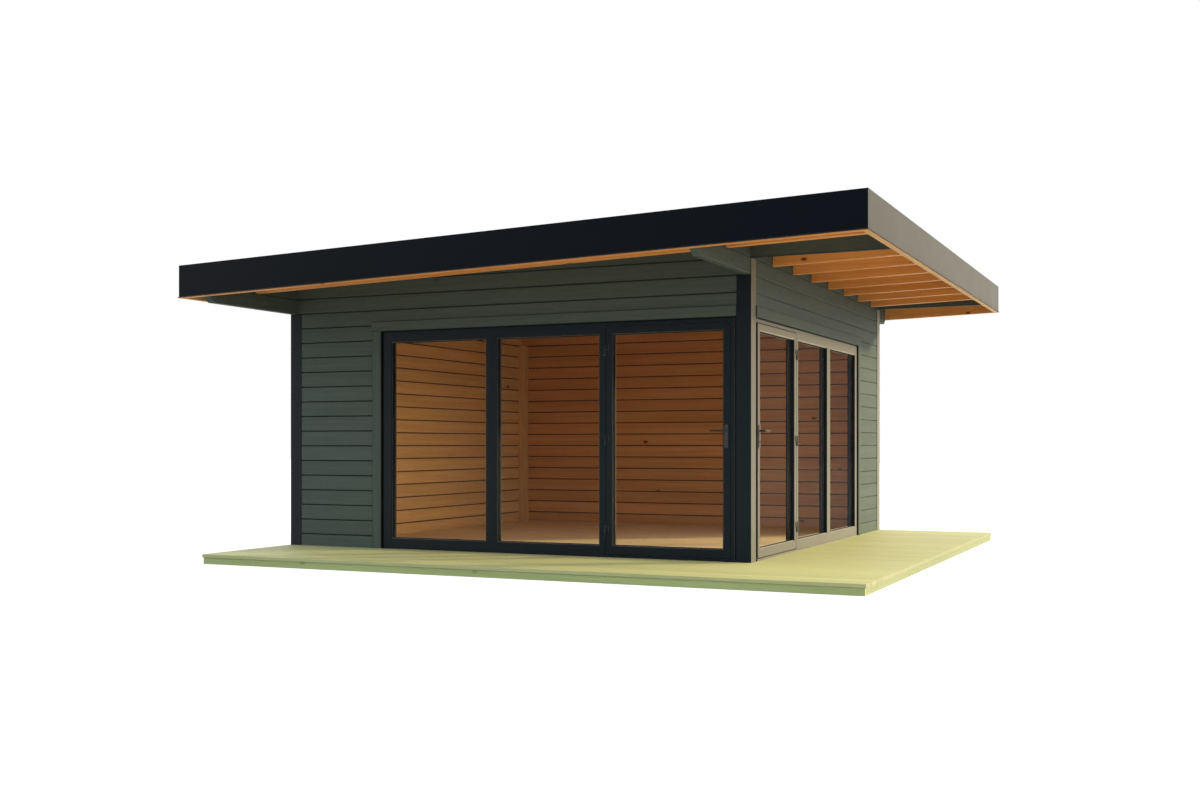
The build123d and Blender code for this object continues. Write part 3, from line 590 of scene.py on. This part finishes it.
green_x = timber("green_along_x", "x", flat="y", **GREEN)
green_y = timber("green_along_y", "y", flat="x", **SUNNY_GREEN)
green_z = timber("green_upright", "z", flat="y", **GREEN)
spruce_x = timber("spruce_along_x_shaded", "x", flat="y", **SHADED_RED_SPRUCE)
spruce_y = timber("spruce_along_y", "y", flat="x", **SPRUCE)
spruce_z = timber("spruce_upright", "z", **SPRUCE)
rafter_wood = timber("rafter_spruce", "x", **LIFTED_ORANGE_SPRUCE)
soffit_wood = timber("soffit_spruce", "y", flat="z", **SPRUCE)
floor_wood = timber("floor_spruce", "x", flat="z", **PLANED)
deck_wood = timber("deck_timber", "x", flat="z", knot_share=0.9, **DECKING)
deck_ends = timber("deck_end_grain", "z", knot_share=1.1, **DECK_ENDS)
skirt_x = timber("skirt_along_x", "x", flat="y", **SKIRTING)
skirt_y = timber("skirt_along_y_shaded", "y", flat="x", **SHADED_SIDE_SKIRTING)
fascia_metal = coated("fascia_coat", (0.001, 0.0032, 0.0072, 1), rough=0.42, shine=0.03, bloom=0.4)
door_metal = coated("door_coat", (0.001, 0.0070, 0.0145, 1), rough=0.40, shine=0.08, bloom=1.0)
plate_metal = coated("plate_coat", (0.030, 0.034, 0.038, 1), **PLATE)
lever_metal = coated("lever_coat", (0.026, 0.026, 0.028, 1), **LEVER)
glazing = pane_glass("pane_glass")
seal_rubber = sheet_rubber("seal_rubber", (0.006, 0.007, 0.008, 1), rough=0.6)
roof_rubber = sheet_rubber("roof_sheet", (0.035, 0.036, 0.038, 1), rough=0.7)


# Log walls. Each course is one log, painted outside and bare inside.
def play(count):
    """Small in and out play of each log."""
    return draws.uniform(-LOG_PLAY, LOG_PLAY, count)


def logs(ends, near, far, outer, depth, axes):
    """Skin of a stack of logs with V joints and painted shade in them, green on the outer side and bare on
    the room side.
    """
    points = bars(ends, near, far, outer, depth, LOG_JOINT, axes, GROOVED)
    points[..., AXIS[axes[2]]] += play(len(points))[:, None, None]
    return shell(points, SECTION_BACK, shade=LOG_SHADE)


def gable(outer, depth, starts, stops):
    """Courses of a front or rear wall between x starts and stops, one pair a course, the top one cut to
    the slope of the roof and bent where the tapered course begins."""
    ends = np.stack([starts, np.clip(TAPER_START, starts, stops), stops], axis=1)
    near = np.repeat(LEVELS[:-1, None], ends.shape[1], axis=1)
    far = np.minimum(LEVELS[1:, None], under_boards(ends))
    return logs(ends, near, far, outer, depth, "xzy")


def stack(ends, count, outer, depth):
    """Level courses of a left or right wall, a count of them from the floor up."""
    return logs(ends, LEVELS[:count, None], LEVELS[1 : count + 1, None], outer, depth, "yzx")


# The left purlin passes through the second highest course of the gables, the right one through the highest.
ROUNDING = 1e-6
TOP = len(LEVELS) - 1
DOOR_COURSES = int(np.ceil((HEAD - BASE) / COURSE - ROUNDING))
LEFT_COURSES = int(round((LEFT_PURLIN - BASE) / COURSE))
SIDE_COURSES = LEFT_COURSES + 1
HEAD_STRIP = (HEAD, LEVELS[DOOR_COURSES])
course_starts = np.full(TOP, WALL_LEFT)
course_starts[TOP - 2] = ROOM_LEFT
rear_stops = np.full(TOP, WALL_RIGHT)
rear_stops[TOP - 1] = ROOM_RIGHT
front_stops = np.where(np.arange(TOP) < DOOR_COURSES, PANEL_EDGE, POST_RIGHT)
front_stops[TOP - 1] = ROOM_RIGHT
side_starts = np.where(np.arange(SIDE_COURSES) < DOOR_COURSES, SIDE_EDGE, POST_REAR)
side_ends = np.stack([side_starts, np.full(SIDE_COURSES, ROOM_REAR)], axis=1)

skins = [
    gable(WALL_FRONT, LOG, course_starts, front_stops),
    logs([[PANEL_EDGE, POST_RIGHT]], *HEAD_STRIP, WALL_FRONT, LOG, "xzy"),
]
piece("front_logs", skins, [green_x, spruce_x], "house", ["front_wall", "front_lintel"])
skins = [gable(WALL_REAR, -LOG, course_starts, rear_stops)]
piece("rear_logs", skins, [green_x, spruce_x], "house", ["rear_wall"])
skins = [stack([[ROOM_FRONT, ROOM_REAR]], LEFT_COURSES, WALL_LEFT, LOG)]
piece("left_logs", skins, [green_y, spruce_y], "house", ["left_wall"])
skins = [
    stack(side_ends, SIDE_COURSES, WALL_RIGHT, -LOG),
    logs([[POST_REAR, SIDE_EDGE]], *HEAD_STRIP, WALL_RIGHT, -LOG, "yzx"),
]
piece("side_logs", skins, [green_y, spruce_y], "house", ["side_wall", "side_lintel"])

# Purlins, with their ends bevelled below, bare between the gables and painted outside
purlin_front = [RIM_LOW[1], RIM_LOW[1] + PURLIN_BEVEL, WALL_FRONT, ROOM_FRONT]
purlin_rear = [ROOM_REAR, WALL_REAR, RIM_HIGH[1] - PURLIN_BEVEL, RIM_HIGH[1]]
purlin_ends = np.array([purlin_front + purlin_rear])
purlin_lift = np.array([[PURLIN_BEVEL, 0, 0, 0, 0, 0, 0, PURLIN_BEVEL]])
indoors = np.array([[0], [0], [0], [1], [0], [0], [0]])
for name, outer, depth, foot, crest in (
    ("left_purlin", WALL_LEFT, LOG, LEFT_PURLIN, float(seat(WALL_LEFT))),
    ("right_purlin", WALL_RIGHT, -LOG, RIGHT_PURLIN, float(seat(WALL_RIGHT - LOG))),
):
    points = bars(purlin_ends, foot + purlin_lift, crest, outer, depth, LOG_JOINT, "yzx", GROOVED)
    skin = shell(points, indoors * SECTION_BACK, shade=LOG_SHADE)
    piece(f"{name}_log", [skin], [green_y, spruce_y], "house", [name])

# Tapered courses that run out to the right rim
beam_ends = np.array([[TAPER_START, ROOM_RIGHT, WALL_RIGHT, RIM_HIGH[0]]])
indoors = np.array([[1], [0], [0]])
skins = []
for outer, depth in ((WALL_FRONT, LOG), (WALL_REAR, -LOG)):
    points = bars(beam_ends, BEAM, under_boards(beam_ends), outer, depth, LOG_JOINT, "xzy", GROOVED)
    skins.append(shell(points, indoors * SECTION_BACK, shade=LOG_SHADE))
piece("gable_beam_logs", skins, [green_x, spruce_x], "house", ["gable_beams"])


# Roof timbers
def sloped(points, sides=0):
    """Skin of bars that lie on the slope: each point is lifted by the seat's height at its x."""
    points[..., 2] += seat(points[..., 0])
    return shell(points, sides)


# Rafters, left out where the front gable stands, and the short logs between them
gable_row = (WALL_FRONT + ROOM_FRONT) / 2
rows = np.arange(low("rafters")[1] + LOG / 2, high("rafters")[1], RAFTER_PITCH)
rows = rows[np.abs(rows - gable_row) > LOG]
rafter_ends = np.repeat([[RIM_LOW[0], RIM_HIGH[0]]], len(rows), axis=0)
rafter_sides = (rows[:, None] - LOG / 2, rows[:, None] + LOG / 2)
skin = sloped(bars(rafter_ends, *rafter_sides, 0.0, RAFTER_HEIGHT, ARRIS, "xyz"))
piece("rafter_timbers", [skin], [rafter_wood], "house", ["rafters"])

filled = np.sort(np.concatenate([rows, [gable_row, (ROOM_REAR + WALL_REAR) / 2]]))
bay_near = np.concatenate([[RIM_LOW[1]], filled + LOG / 2])
bay_far = np.concatenate([filled - LOG / 2, [RIM_HIGH[1]]])
bays = np.stack([bay_near, bay_far], axis=1)
inside = ((bay_near > WALL_FRONT) & (bay_far < WALL_REAR)).astype(int)
bay_finish = inside[:, None, None] * SECTION_BACK
skins = [
    sloped(bars(bays, 0.0, RAFTER_HEIGHT, WALL_LEFT, LOG, ARRIS, "yzx"), bay_finish),
    sloped(bars(bays, 0.0, RAFTER_HEIGHT, WALL_RIGHT, -LOG, ARRIS, "yzx"), bay_finish),
]
piece("rafter_infill_logs", skins, [green_y, spruce_y], "house", ["rafter_infill"])

# Rims round the rafter ends, in one piece each way
for name, axes, ends, wood in (
    ("end_rim", "xzy", [[METAL_LOW[0], METAL_HIGH[0]]], rafter_wood),
    ("side_rim", "yzx", [[RIM_LOW[1], RIM_HIGH[1]]], soffit_wood),
):
    near, far = METAL_LOW[AXIS[axes[2]]], METAL_HIGH[AXIS[axes[2]]]
    skins = [
        sloped(bars(ends, RIM_FOOT, RAFTER_HEIGHT, near, RIM_THICK, ARRIS, axes)),
        sloped(bars(ends, RIM_FOOT, RAFTER_HEIGHT, far, -RIM_THICK, ARRIS, axes)),
    ]
    piece(f"{name}_boards", skins, [wood], "house", [f"{name}s"])


def planks(near, far, count, gap):
    """Edges of a row of planks: the room between two places in equal steps, a gap between neighbours."""
    step = (far - near) / count
    edges = near + step * np.arange(count + 1)
    first, last = edges[:-1] + gap / 2, edges[1:] - gap / 2
    first[0], last[-1] = near, far
    return first[:, None], last[:, None]


# Roof boards seen from below, laid across the rafters with eased joints
soffit_edges = planks(METAL_LOW[0], METAL_HIGH[0], SOFFIT_ROWS, 0.0)
soffit_ends = [[METAL_LOW[1], METAL_HIGH[1]]]
points = bars(soffit_ends, *soffit_edges, RAFTER_HEIGHT, ROOF_BOARD, SOFFIT_GROOVE, "yxz")
piece("roof_planks", [sloped(points)], [soffit_wood], "house", ["roof_boards"])

# Floor planks indoors, the front one cut off at the near post
first, last = planks(ROOM_FRONT, ROOM_REAR, FLOOR_ROWS, 0.0)
floor_ends = np.repeat([[ROOM_LEFT, ROOM_RIGHT]], FLOOR_ROWS, axis=0)
floor_ends[first[:, 0] < POST_REAR, 1] = POST_RIGHT
points = bars(floor_ends, first, last, DECK_TOP, BASE - DECK_TOP, FINE_ARRIS, "xyz")
piece("floor_planks", [shell(points)], [floor_wood], "house", ["floor_boards"])

# Deck planks: long rows in front of the house, short rows beside it
deck_low, deck_high = low("deck_boards"), high("deck_boards")
front_edges = planks(deck_low[1], WALL_FRONT, DECK_ROWS_FRONT, DECK_GAP)
side_edges = planks(WALL_FRONT + DECK_GAP, deck_high[1], DECK_ROWS_SIDE, DECK_GAP)
skins = [
    shell(bars([[start, deck_high[0]]], *edges, DECK_TOP, BASE - DECK_TOP, ARRIS, "xyz"), 0, 1)
    for start, edges in ((deck_low[0], front_edges), (WALL_RIGHT, side_edges))
]
piece("deck_planks", skins, [deck_wood, deck_ends], "house", ["deck_boards"])

# Skirt boards under the deck's edges
skirt_low, skirt_high = low("deck_skirt"), high("deck_skirt")
skins = []
for axes, finish, start, stop, face, thick in (
    ("xzy", 0, skirt_low[0], skirt_high[0], skirt_low[1], SKIRT),
    ("xzy", 0, WALL_RIGHT, skirt_high[0] - SKIRT, skirt_high[1], -SKIRT),
    ("yzx", 1, skirt_low[1] + SKIRT, skirt_high[1], skirt_high[0], -SKIRT),
    ("yzx", 1, skirt_low[1] + SKIRT, WALL_FRONT, skirt_low[0], SKIRT),
):
    skins.append(shell(bars([[start, stop]], 0.0, BASE, face, thick, ARRIS, axes), finish, finish))
piece("deck_skirt_boards", skins, [skirt_x, skirt_y], "house", ["deck_skirt"])

# Door units: name, axis across the unit, and the way that is out of doors along the other axis
UNITS = (("front", 0, -1), ("side", 1, 1))


def upright_axes(wide):
    """Names of the axes of an upright bar in a unit: its length, its width and its depth."""
    return "z" + "xy"[wide] + "xy"[1 - wide]


def casing(unit, wide, outside):
    """Painted boards of a unit: one over its whole width, and one down its far side that stands in by
    the ear of the first."""
    near, far = low(f"{unit}_casing"), high(f"{unit}_casing")
    deep = 1 - wide
    corner = near if outside < 0 else far
    thick = -outside * (far - near)[deep]
    jamb = sorted(corner[wide] - outside * (CASING_EAR + np.array([0.0, CASING_WIDTH])))
    axes = "xy"[wide] + "z" + "xy"[deep]
    head_board = bars([[near[wide], far[wide]]], HEAD, far[2], corner[deep], thick, POST_ARRIS, axes)
    jamb_board = bars([[DECK_TOP, HEAD]], *jamb, corner[deep], thick, POST_ARRIS, upright_axes(wide))
    # Painted shade darkens the boards' edges, standing in for the shadow lines round them.
    skins = [shell(head_board, shade=EDGE_SHADE), shell(jamb_board, 1, 1, shade=EDGE_SHADE)]
    paints = [(green_x, green_y)[wide], green_z]
    piece(f"{unit}_casing_boards", skins, paints, "house", [f"{unit}_casing"])


for unit in UNITS:
    casing(*unit)

# Posts inside the corners
post_low, post_high = low("inner_posts"), high("inner_posts")
near_x = np.array([[post_low[0]], [post_low[0]], [post_high[0] - POST]])
face_y = np.array([post_low[1], post_high[1] - POST, post_high[1] - POST])
post_ends = np.repeat([[post_low[2], post_high[2]]], len(face_y), axis=0)
points = bars(post_ends, near_x, near_x + POST, face_y, POST, POST_ARRIS, "zxy")
piece("inner_post_timbers", [shell(points)], [spruce_z], "house", ["inner_posts"])


# Glazing: what beds each sealed pane in its leaf
def panes(unit, part):
    """Lowest and highest corners of the panes of a glass node. The fixed lights are two, as large as the
    door's, one at each end of their node."""
    near, far = low(f"{unit}_{part}_glass"), high(f"{unit}_{part}_glass")
    single = high(f"{unit}_door_glass") - low(f"{unit}_door_glass")
    starts = [near] if part == "door" else [near, far - single]
    return [(start, start + single) for start in starts]


def seal_section(face, side):
    """Section of a seal on one face of a pane: it starts in the leaf's pocket and thins towards its tip."""
    root = GLASS_POCKET - SEAL_THICK
    tip = GLASS_POCKET + SEAL_WIDTH
    back = face + side * SEAL_THICK
    half = (tip - SEAL_THICK / 3, face + side * SEAL_THICK / 2)
    return np.array([(root, face), (tip, face), half, (GLASS_POCKET, back), (root, back)])


def pane_bed(near, far, wide, outside):
    """Skin of the bead on the room side of a pane, and those of the spacer in its edge and of the seals on
    both its faces."""
    deep = 1 - wide
    outer, inner = (near[deep], far[deep]) if outside < 0 else (far[deep], near[deep])
    room = (outer + inner) / 2 - outside * LEAF_DEPTH / 2
    between = (outer - outside * GLASS_SHEET, inner + outside * GLASS_SHEET)
    sections = [
        oblong((GLASS_POCKET - BEAD_WIDTH, GLASS_POCKET), (room, room - outside * BEAD_DEPTH)),
        oblong((0, GLASS_POCKET + SPACER_SHOW), between),
        seal_section(outer, outside),
        seal_section(inner, -outside),
    ]
    bead, *seals = [shell(rings(near, far, section, wide), closed=True) for section in sections]
    return bead, seals


def glazed(unit, wide, outside):
    """Beads and seals of the swinging leaf's pane and of the fixed lights."""
    for part, body in (("door", f"{unit}_door"), ("fixed", "house")):
        beads, seals = [], []
        for near, far in panes(unit, part):
            bead, bedding = pane_bed(near, far, wide, outside)
            beads.append(bead)
            seals += bedding
        piece(f"{unit}_{part}_seals", seals, [seal_rubber], body)
        piece(f"{unit}_{part}_beads", beads, [door_metal], body)


# Fittings and edges of the swinging leaf
def leaf_middle(unit, wide):
    """Place of the middle of a leaf's depth, which is that of its pane."""
    node = f"{unit}_door_glass"
    return (low(node)[1 - wide] + high(node)[1 - wide]) / 2


def leaf_opening(unit):
    """Lowest and highest corner of the clear opening that a swinging leaf closes, from its pane."""
    edge = STILE - GLASS_POCKET + LEAF_GAP
    near, far = low(f"{unit}_door_glass") - edge, high(f"{unit}_door_glass") + edge
    near[2] -= BOTTOM_RAIL - STILE
    return near, far


def gasket_face(unit, wide, outside):
    """Place of the gasket's outer face, set back a little from the frame's."""
    corner = low(f"{unit}_frame") if outside < 0 else high(f"{unit}_frame")
    return corner[1 - wide] - outside * GASKET_SET_BACK


def barrel(centre, face, side, wide):
    """Points of a lock barrel: each step of its profile is a circle of that step's radius round the
    centre, lifted off the face by the step's height."""
    angle = np.linspace(0, 2 * np.pi, BARREL_SIDES, endpoint=False)
    radii = np.array(BARREL_RADII)[:, None]
    points = np.empty((1, len(BARREL_RADII), BARREL_SIDES, 3))
    points[0, ..., wide] = centre[0] + radii * np.cos(angle)
    points[0, ..., 2] = centre[1] + radii * np.sin(angle)
    points[0, ..., 1 - wide] = face + side * np.array(BARREL_STEPS)[:, None]
    return points


def lock_plates(unit, wide, outside):
    """Plate and lock barrel on both faces of a leaf, placed from its lever and one skin larger than the
    plates that the leaf already has."""
    lever_low, lever_high = low(f"{unit}_lever"), high(f"{unit}_lever")
    turn = lever_low[wide] + LEVER_RADIUS if outside > 0 else lever_high[wide] - LEVER_RADIUS
    level = (lever_low[2] + lever_high[2]) / 2
    across = (turn - PLATE_HALF - PLATE_SKIN, turn + PLATE_HALF + PLATE_SKIN)
    upright = [[level - PLATE_BELOW - PLATE_SKIN, level + PLATE_ABOVE + PLATE_SKIN]]
    skins = []
    for side in (1, -1):
        face = leaf_middle(unit, wide) + side * (LEAF_DEPTH / 2 + PLATE_THICK + PLATE_SKIN)
        plate = bars(upright, *across, face, -side * PLATE_THICK, FINE_ARRIS, upright_axes(wide))
        skins.append(shell(plate))
        skins.append(shell(barrel((turn, level - BARREL_DROP), face, side, wide), 1, 1))
    piece(f"{unit}_door_plates", skins, [plate_metal, lever_metal], f"{unit}_door")


def door_gasket(unit, wide, outside):
    """Rubber lip on the frame, round the opening that the leaf closes."""
    face = gasket_face(unit, wide, outside)
    lip = oblong((0, GASKET), (face, face - outside * GASKET))
    skin = shell(rings(*leaf_opening(unit), lip, wide), closed=True)
    piece(f"{unit}_door_gasket", [skin], [seal_rubber], "house")


def shade_joint_strip(unit, wide, outside):
    """Rubber strip in the recess between the near corner's cover and the frame; it also stands in as painted
    shade for the shadow in that recess.
    """
    post_edge = (low("near_cover") if outside < 0 else high("near_cover"))[wide]
    joint = sorted((post_edge, post_edge + outside * JOINT_WIDTH))
    face = gasket_face(unit, wide, outside) - outside * JOINT_RECESS
    points = bars([[DECK_TOP, HEAD]], *joint, face, -outside * JOINT_DEPTH, FINE_ARRIS, upright_axes(wide))
    piece(f"{unit}_shade_joint_strip", [shell(points)], [seal_rubber], "house")


def door_edge_shade_strip(unit, wide, outside):
    """Thin rubber strip let into the closing edge of the leaf; it also darkens the gap there as painted
    shade.
    """
    near, far = leaf_opening(unit)
    closing = far[wide] - LEAF_GAP if outside < 0 else near[wide] + LEAF_GAP
    strip = sorted((closing + outside * STRIP_SUNK, closing - outside * STRIP_THICK))
    upright = [[near[2] + LEAF_GAP, far[2] - LEAF_GAP]]
    face = leaf_middle(unit, wide) + outside * (LEAF_DEPTH / 2 - STRIP_THICK)
    points = bars(upright, *strip, face, -outside * STRIP_DEPTH, STRIP_ARRIS, upright_axes(wide))
    piece(f"{unit}_door_edge_shade_strip", [shell(points)], [seal_rubber], f"{unit}_door")


for unit in UNITS:
    glazed(*unit)
    lock_plates(*unit)
    door_gasket(*unit)
    shade_joint_strip(*unit)
    door_edge_shade_strip(*unit)

# Roof sheet turned up at the kerb, with welded laps
EDGE_PLACES = np.array([0.0, COVE_LEAN, COVE / 3, COVE])
EDGE_LIFTS = np.array([UPSTAND, COVE, COVE / 4, 0.0])


def turned_up(near, far, inner):
    """Places across the sheet and the lift at each: an upstand at both ends with a cove below it."""
    places = np.concatenate([near + EDGE_PLACES, inner, far - EDGE_PLACES[::-1]])
    lifts = np.concatenate([EDGE_LIFTS, np.zeros(len(inner)), EDGE_LIFTS[::-1]])
    return places, lifts


def lapped_sheet(near, far):
    """Skin of the sheet: a grid of places over the boards, each lifted by the greater of its two upstands
    and by the lap it lies on."""
    laps = np.linspace(near[0], far[0], SHEET_LAPS + 1)[1:-1]
    lap_places = laps[:, None] + np.array([-LAP_EDGE, 0.0, LAP_WIDTH, LAP_WIDTH + LAP_EDGE])
    across, across_lift = turned_up(near[0], far[0], lap_places.ravel())
    lap_lift = np.pad(np.tile([0, LAP_RISE, LAP_RISE, 0], len(laps)), len(EDGE_PLACES))
    inner = np.linspace(near[1] + SHEET_ROW_INSET, far[1] - SHEET_ROW_INSET, SHEET_ROWS)
    along, along_lift = turned_up(near[1], far[1], inner)
    place_x, place_y = np.meshgrid(across, along, indexing="ij")
    lift = np.maximum(across_lift[:, None], along_lift[None, :]) + lap_lift[:, None]
    place_z = under_boards(place_x) + ROOF_BOARD + SHEET_TOP + lift
    top = np.stack([place_x, place_y, place_z], axis=-1).reshape(-1, 3)
    grid = np.arange(place_x.size).reshape(place_x.shape)
    quads = np.stack([grid[:-1, :-1], grid[1:, :-1], grid[1:, 1:], grid[:-1, 1:]], axis=-1).reshape(-1, 4)
    return top, [quads], np.zeros(len(quads)), {"board": np.zeros(len(top))}


skin = lapped_sheet(low("roof_membrane"), high("roof_membrane"))
sheet = piece("roof_sheet", [skin], [roof_rubber], "house", ["roof_membrane"])
thickness = sheet.modifiers.new("thickness", "SOLIDIFY")
thickness.thickness = SHEET_THICK
thickness.offset = -1.0

# Finishes of the pieces that the frame already shapes
for material, nodes in (
    (fascia_metal, ["front_fascia", "rear_fascia", "left_fascia", "right_fascia"]),
    (door_metal, ["near_cover", "rear_right_cover", "front_left_cover", "rear_left_cover"]),
    (door_metal, ["front_frame", "side_frame", "front_door_leaf", "side_door_leaf"]),
    (door_metal, ["front_fixed_leaves", "side_fixed_leaves"]),
    (lever_metal, ["front_lever", "side_lever"]),
    (glazing, ["front_door_glass", "side_door_glass", "front_fixed_glass", "side_fixed_glass"]),
    (spruce_z, ["near_post"]),
    # The bearers and joists take the skirt along y, darker as painted shade.
    (skirt_y, ["floor_bearers", "deck_joists"]),
    (roof_rubber, ["roof_kerb"]),
):
    for node in nodes:
        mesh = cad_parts[node].data
        mesh.materials.clear()
        mesh.materials.append(material)


# Studio: pale floor, soft daylight from the right, even fill from all round
def seen(tree):
    """Socket that is one where the surroundings are looked at, straight or in a shine."""
    path = put(tree, "ShaderNodeLightPath")
    shine = sums(tree, "MAXIMUM", path.outputs["Is Glossy Ray"], path.outputs["Is Transmission Ray"])
    return sums(tree, "MAXIMUM", path.outputs["Is Camera Ray"], shine)


def studio_floor():
    """Wide pale floor that looks white to the camera."""
    mesh = bpy.data.meshes.new("studio_floor")
    corners = np.array([(-1, -1), (1, -1), (1, 1), (-1, 1)]) * FLOOR_REACH
    mesh.from_pydata([(x, y, -FLOOR_DROP) for x, y in corners.tolist()], [], [(0, 1, 2, 3)])
    material, tree, surface, output = blank("studio_white")
    tree.nodes.remove(surface)
    matt = put(tree, "ShaderNodeBsdfDiffuse", {"Color": FLOOR_GREY})
    glow = put(tree, "ShaderNodeEmission", {"Strength": sums(tree, "MULTIPLY", seen(tree), FLOOR_GLOW)})
    both = put(tree, "ShaderNodeAddShader", {0: matt.outputs[0], 1: glow.outputs[0]})
    tree.links.new(both.outputs[0], output.inputs["Surface"])
    mesh.materials.append(material)
    floor = bpy.data.objects.new("studio_floor", mesh)
    bpy.context.scene.collection.objects.link(floor)


def studio_world():
    """White surroundings where they are seen; as light, an even cool fill with a broad warm glow round the
    sun that falls off as a power of the cosine."""
    world = bpy.data.worlds.new("studio")
    world.use_nodes = True
    tree = world.node_tree
    tree.nodes.clear()
    way = put(tree, "ShaderNodeTexCoord").outputs["Generated"]
    facing = put(tree, "ShaderNodeVectorMath", {0: way, 1: SUN}, operation="DOT_PRODUCT").outputs["Value"]
    lobe = sums(tree, "POWER", sums(tree, "MAXIMUM", facing, 0.0), WARM_FOCUS)
    warmth = sums(tree, "MULTIPLY", lobe, WARM_POWER)
    fill = put(tree, "ShaderNodeBackground", {"Color": FILL_COLOUR, "Strength": FILL_POWER})
    glow = put(tree, "ShaderNodeBackground", {"Color": WARM_COLOUR, "Strength": warmth})
    light = put(tree, "ShaderNodeAddShader", {0: fill.outputs[0], 1: glow.outputs[0]})
    white = put(tree, "ShaderNodeBackground", {"Color": (1, 1, 1, 1), "Strength": 1.0})
    both = put(tree, "ShaderNodeMixShader", {0: seen(tree), 1: light.outputs[0], 2: white.outputs[0]})
    put(tree, "ShaderNodeOutputWorld", {"Surface": both.outputs[0]})
    bpy.context.scene.world = world


def soft_sun():
    """Distant soft lamp that shines from the sun's place."""
    lamp = bpy.data.lights.new("key", "SUN")
    lamp.energy = KEY_POWER
    lamp.color = KEY_COLOUR
    lamp.angle = math.radians(KEY_SPREAD)
    obj = bpy.data.objects.new("key", lamp)
    obj.rotation_euler = Vector(SUN).to_track_quat("Z", "Y").to_euler()
    bpy.context.scene.collection.objects.link(obj)


def level_camera():
    """Camera a metre above the ground, right of the front, kept level: the picture is shifted up instead,
    by the horizon's distance from its middle as a share of its width."""
    eye = bpy.data.cameras.new("camera")
    eye.sensor_width = SENSOR
    eye.lens = FOCAL / PICTURE[0] * SENSOR
    eye.shift_y = (HORIZON - PICTURE[1] / 2) / PICTURE[0]
    camera = bpy.data.objects.new("camera", eye)
    camera.location = CAMERA
    camera.rotation_euler = (math.radians(90), 0, math.radians(YAW))
    bpy.context.scene.collection.objects.link(camera)
    bpy.context.scene.camera = camera


studio_floor()
studio_world()
soft_sun()
level_camera()
bpy.context.scene.view_settings.view_transform = "Standard"
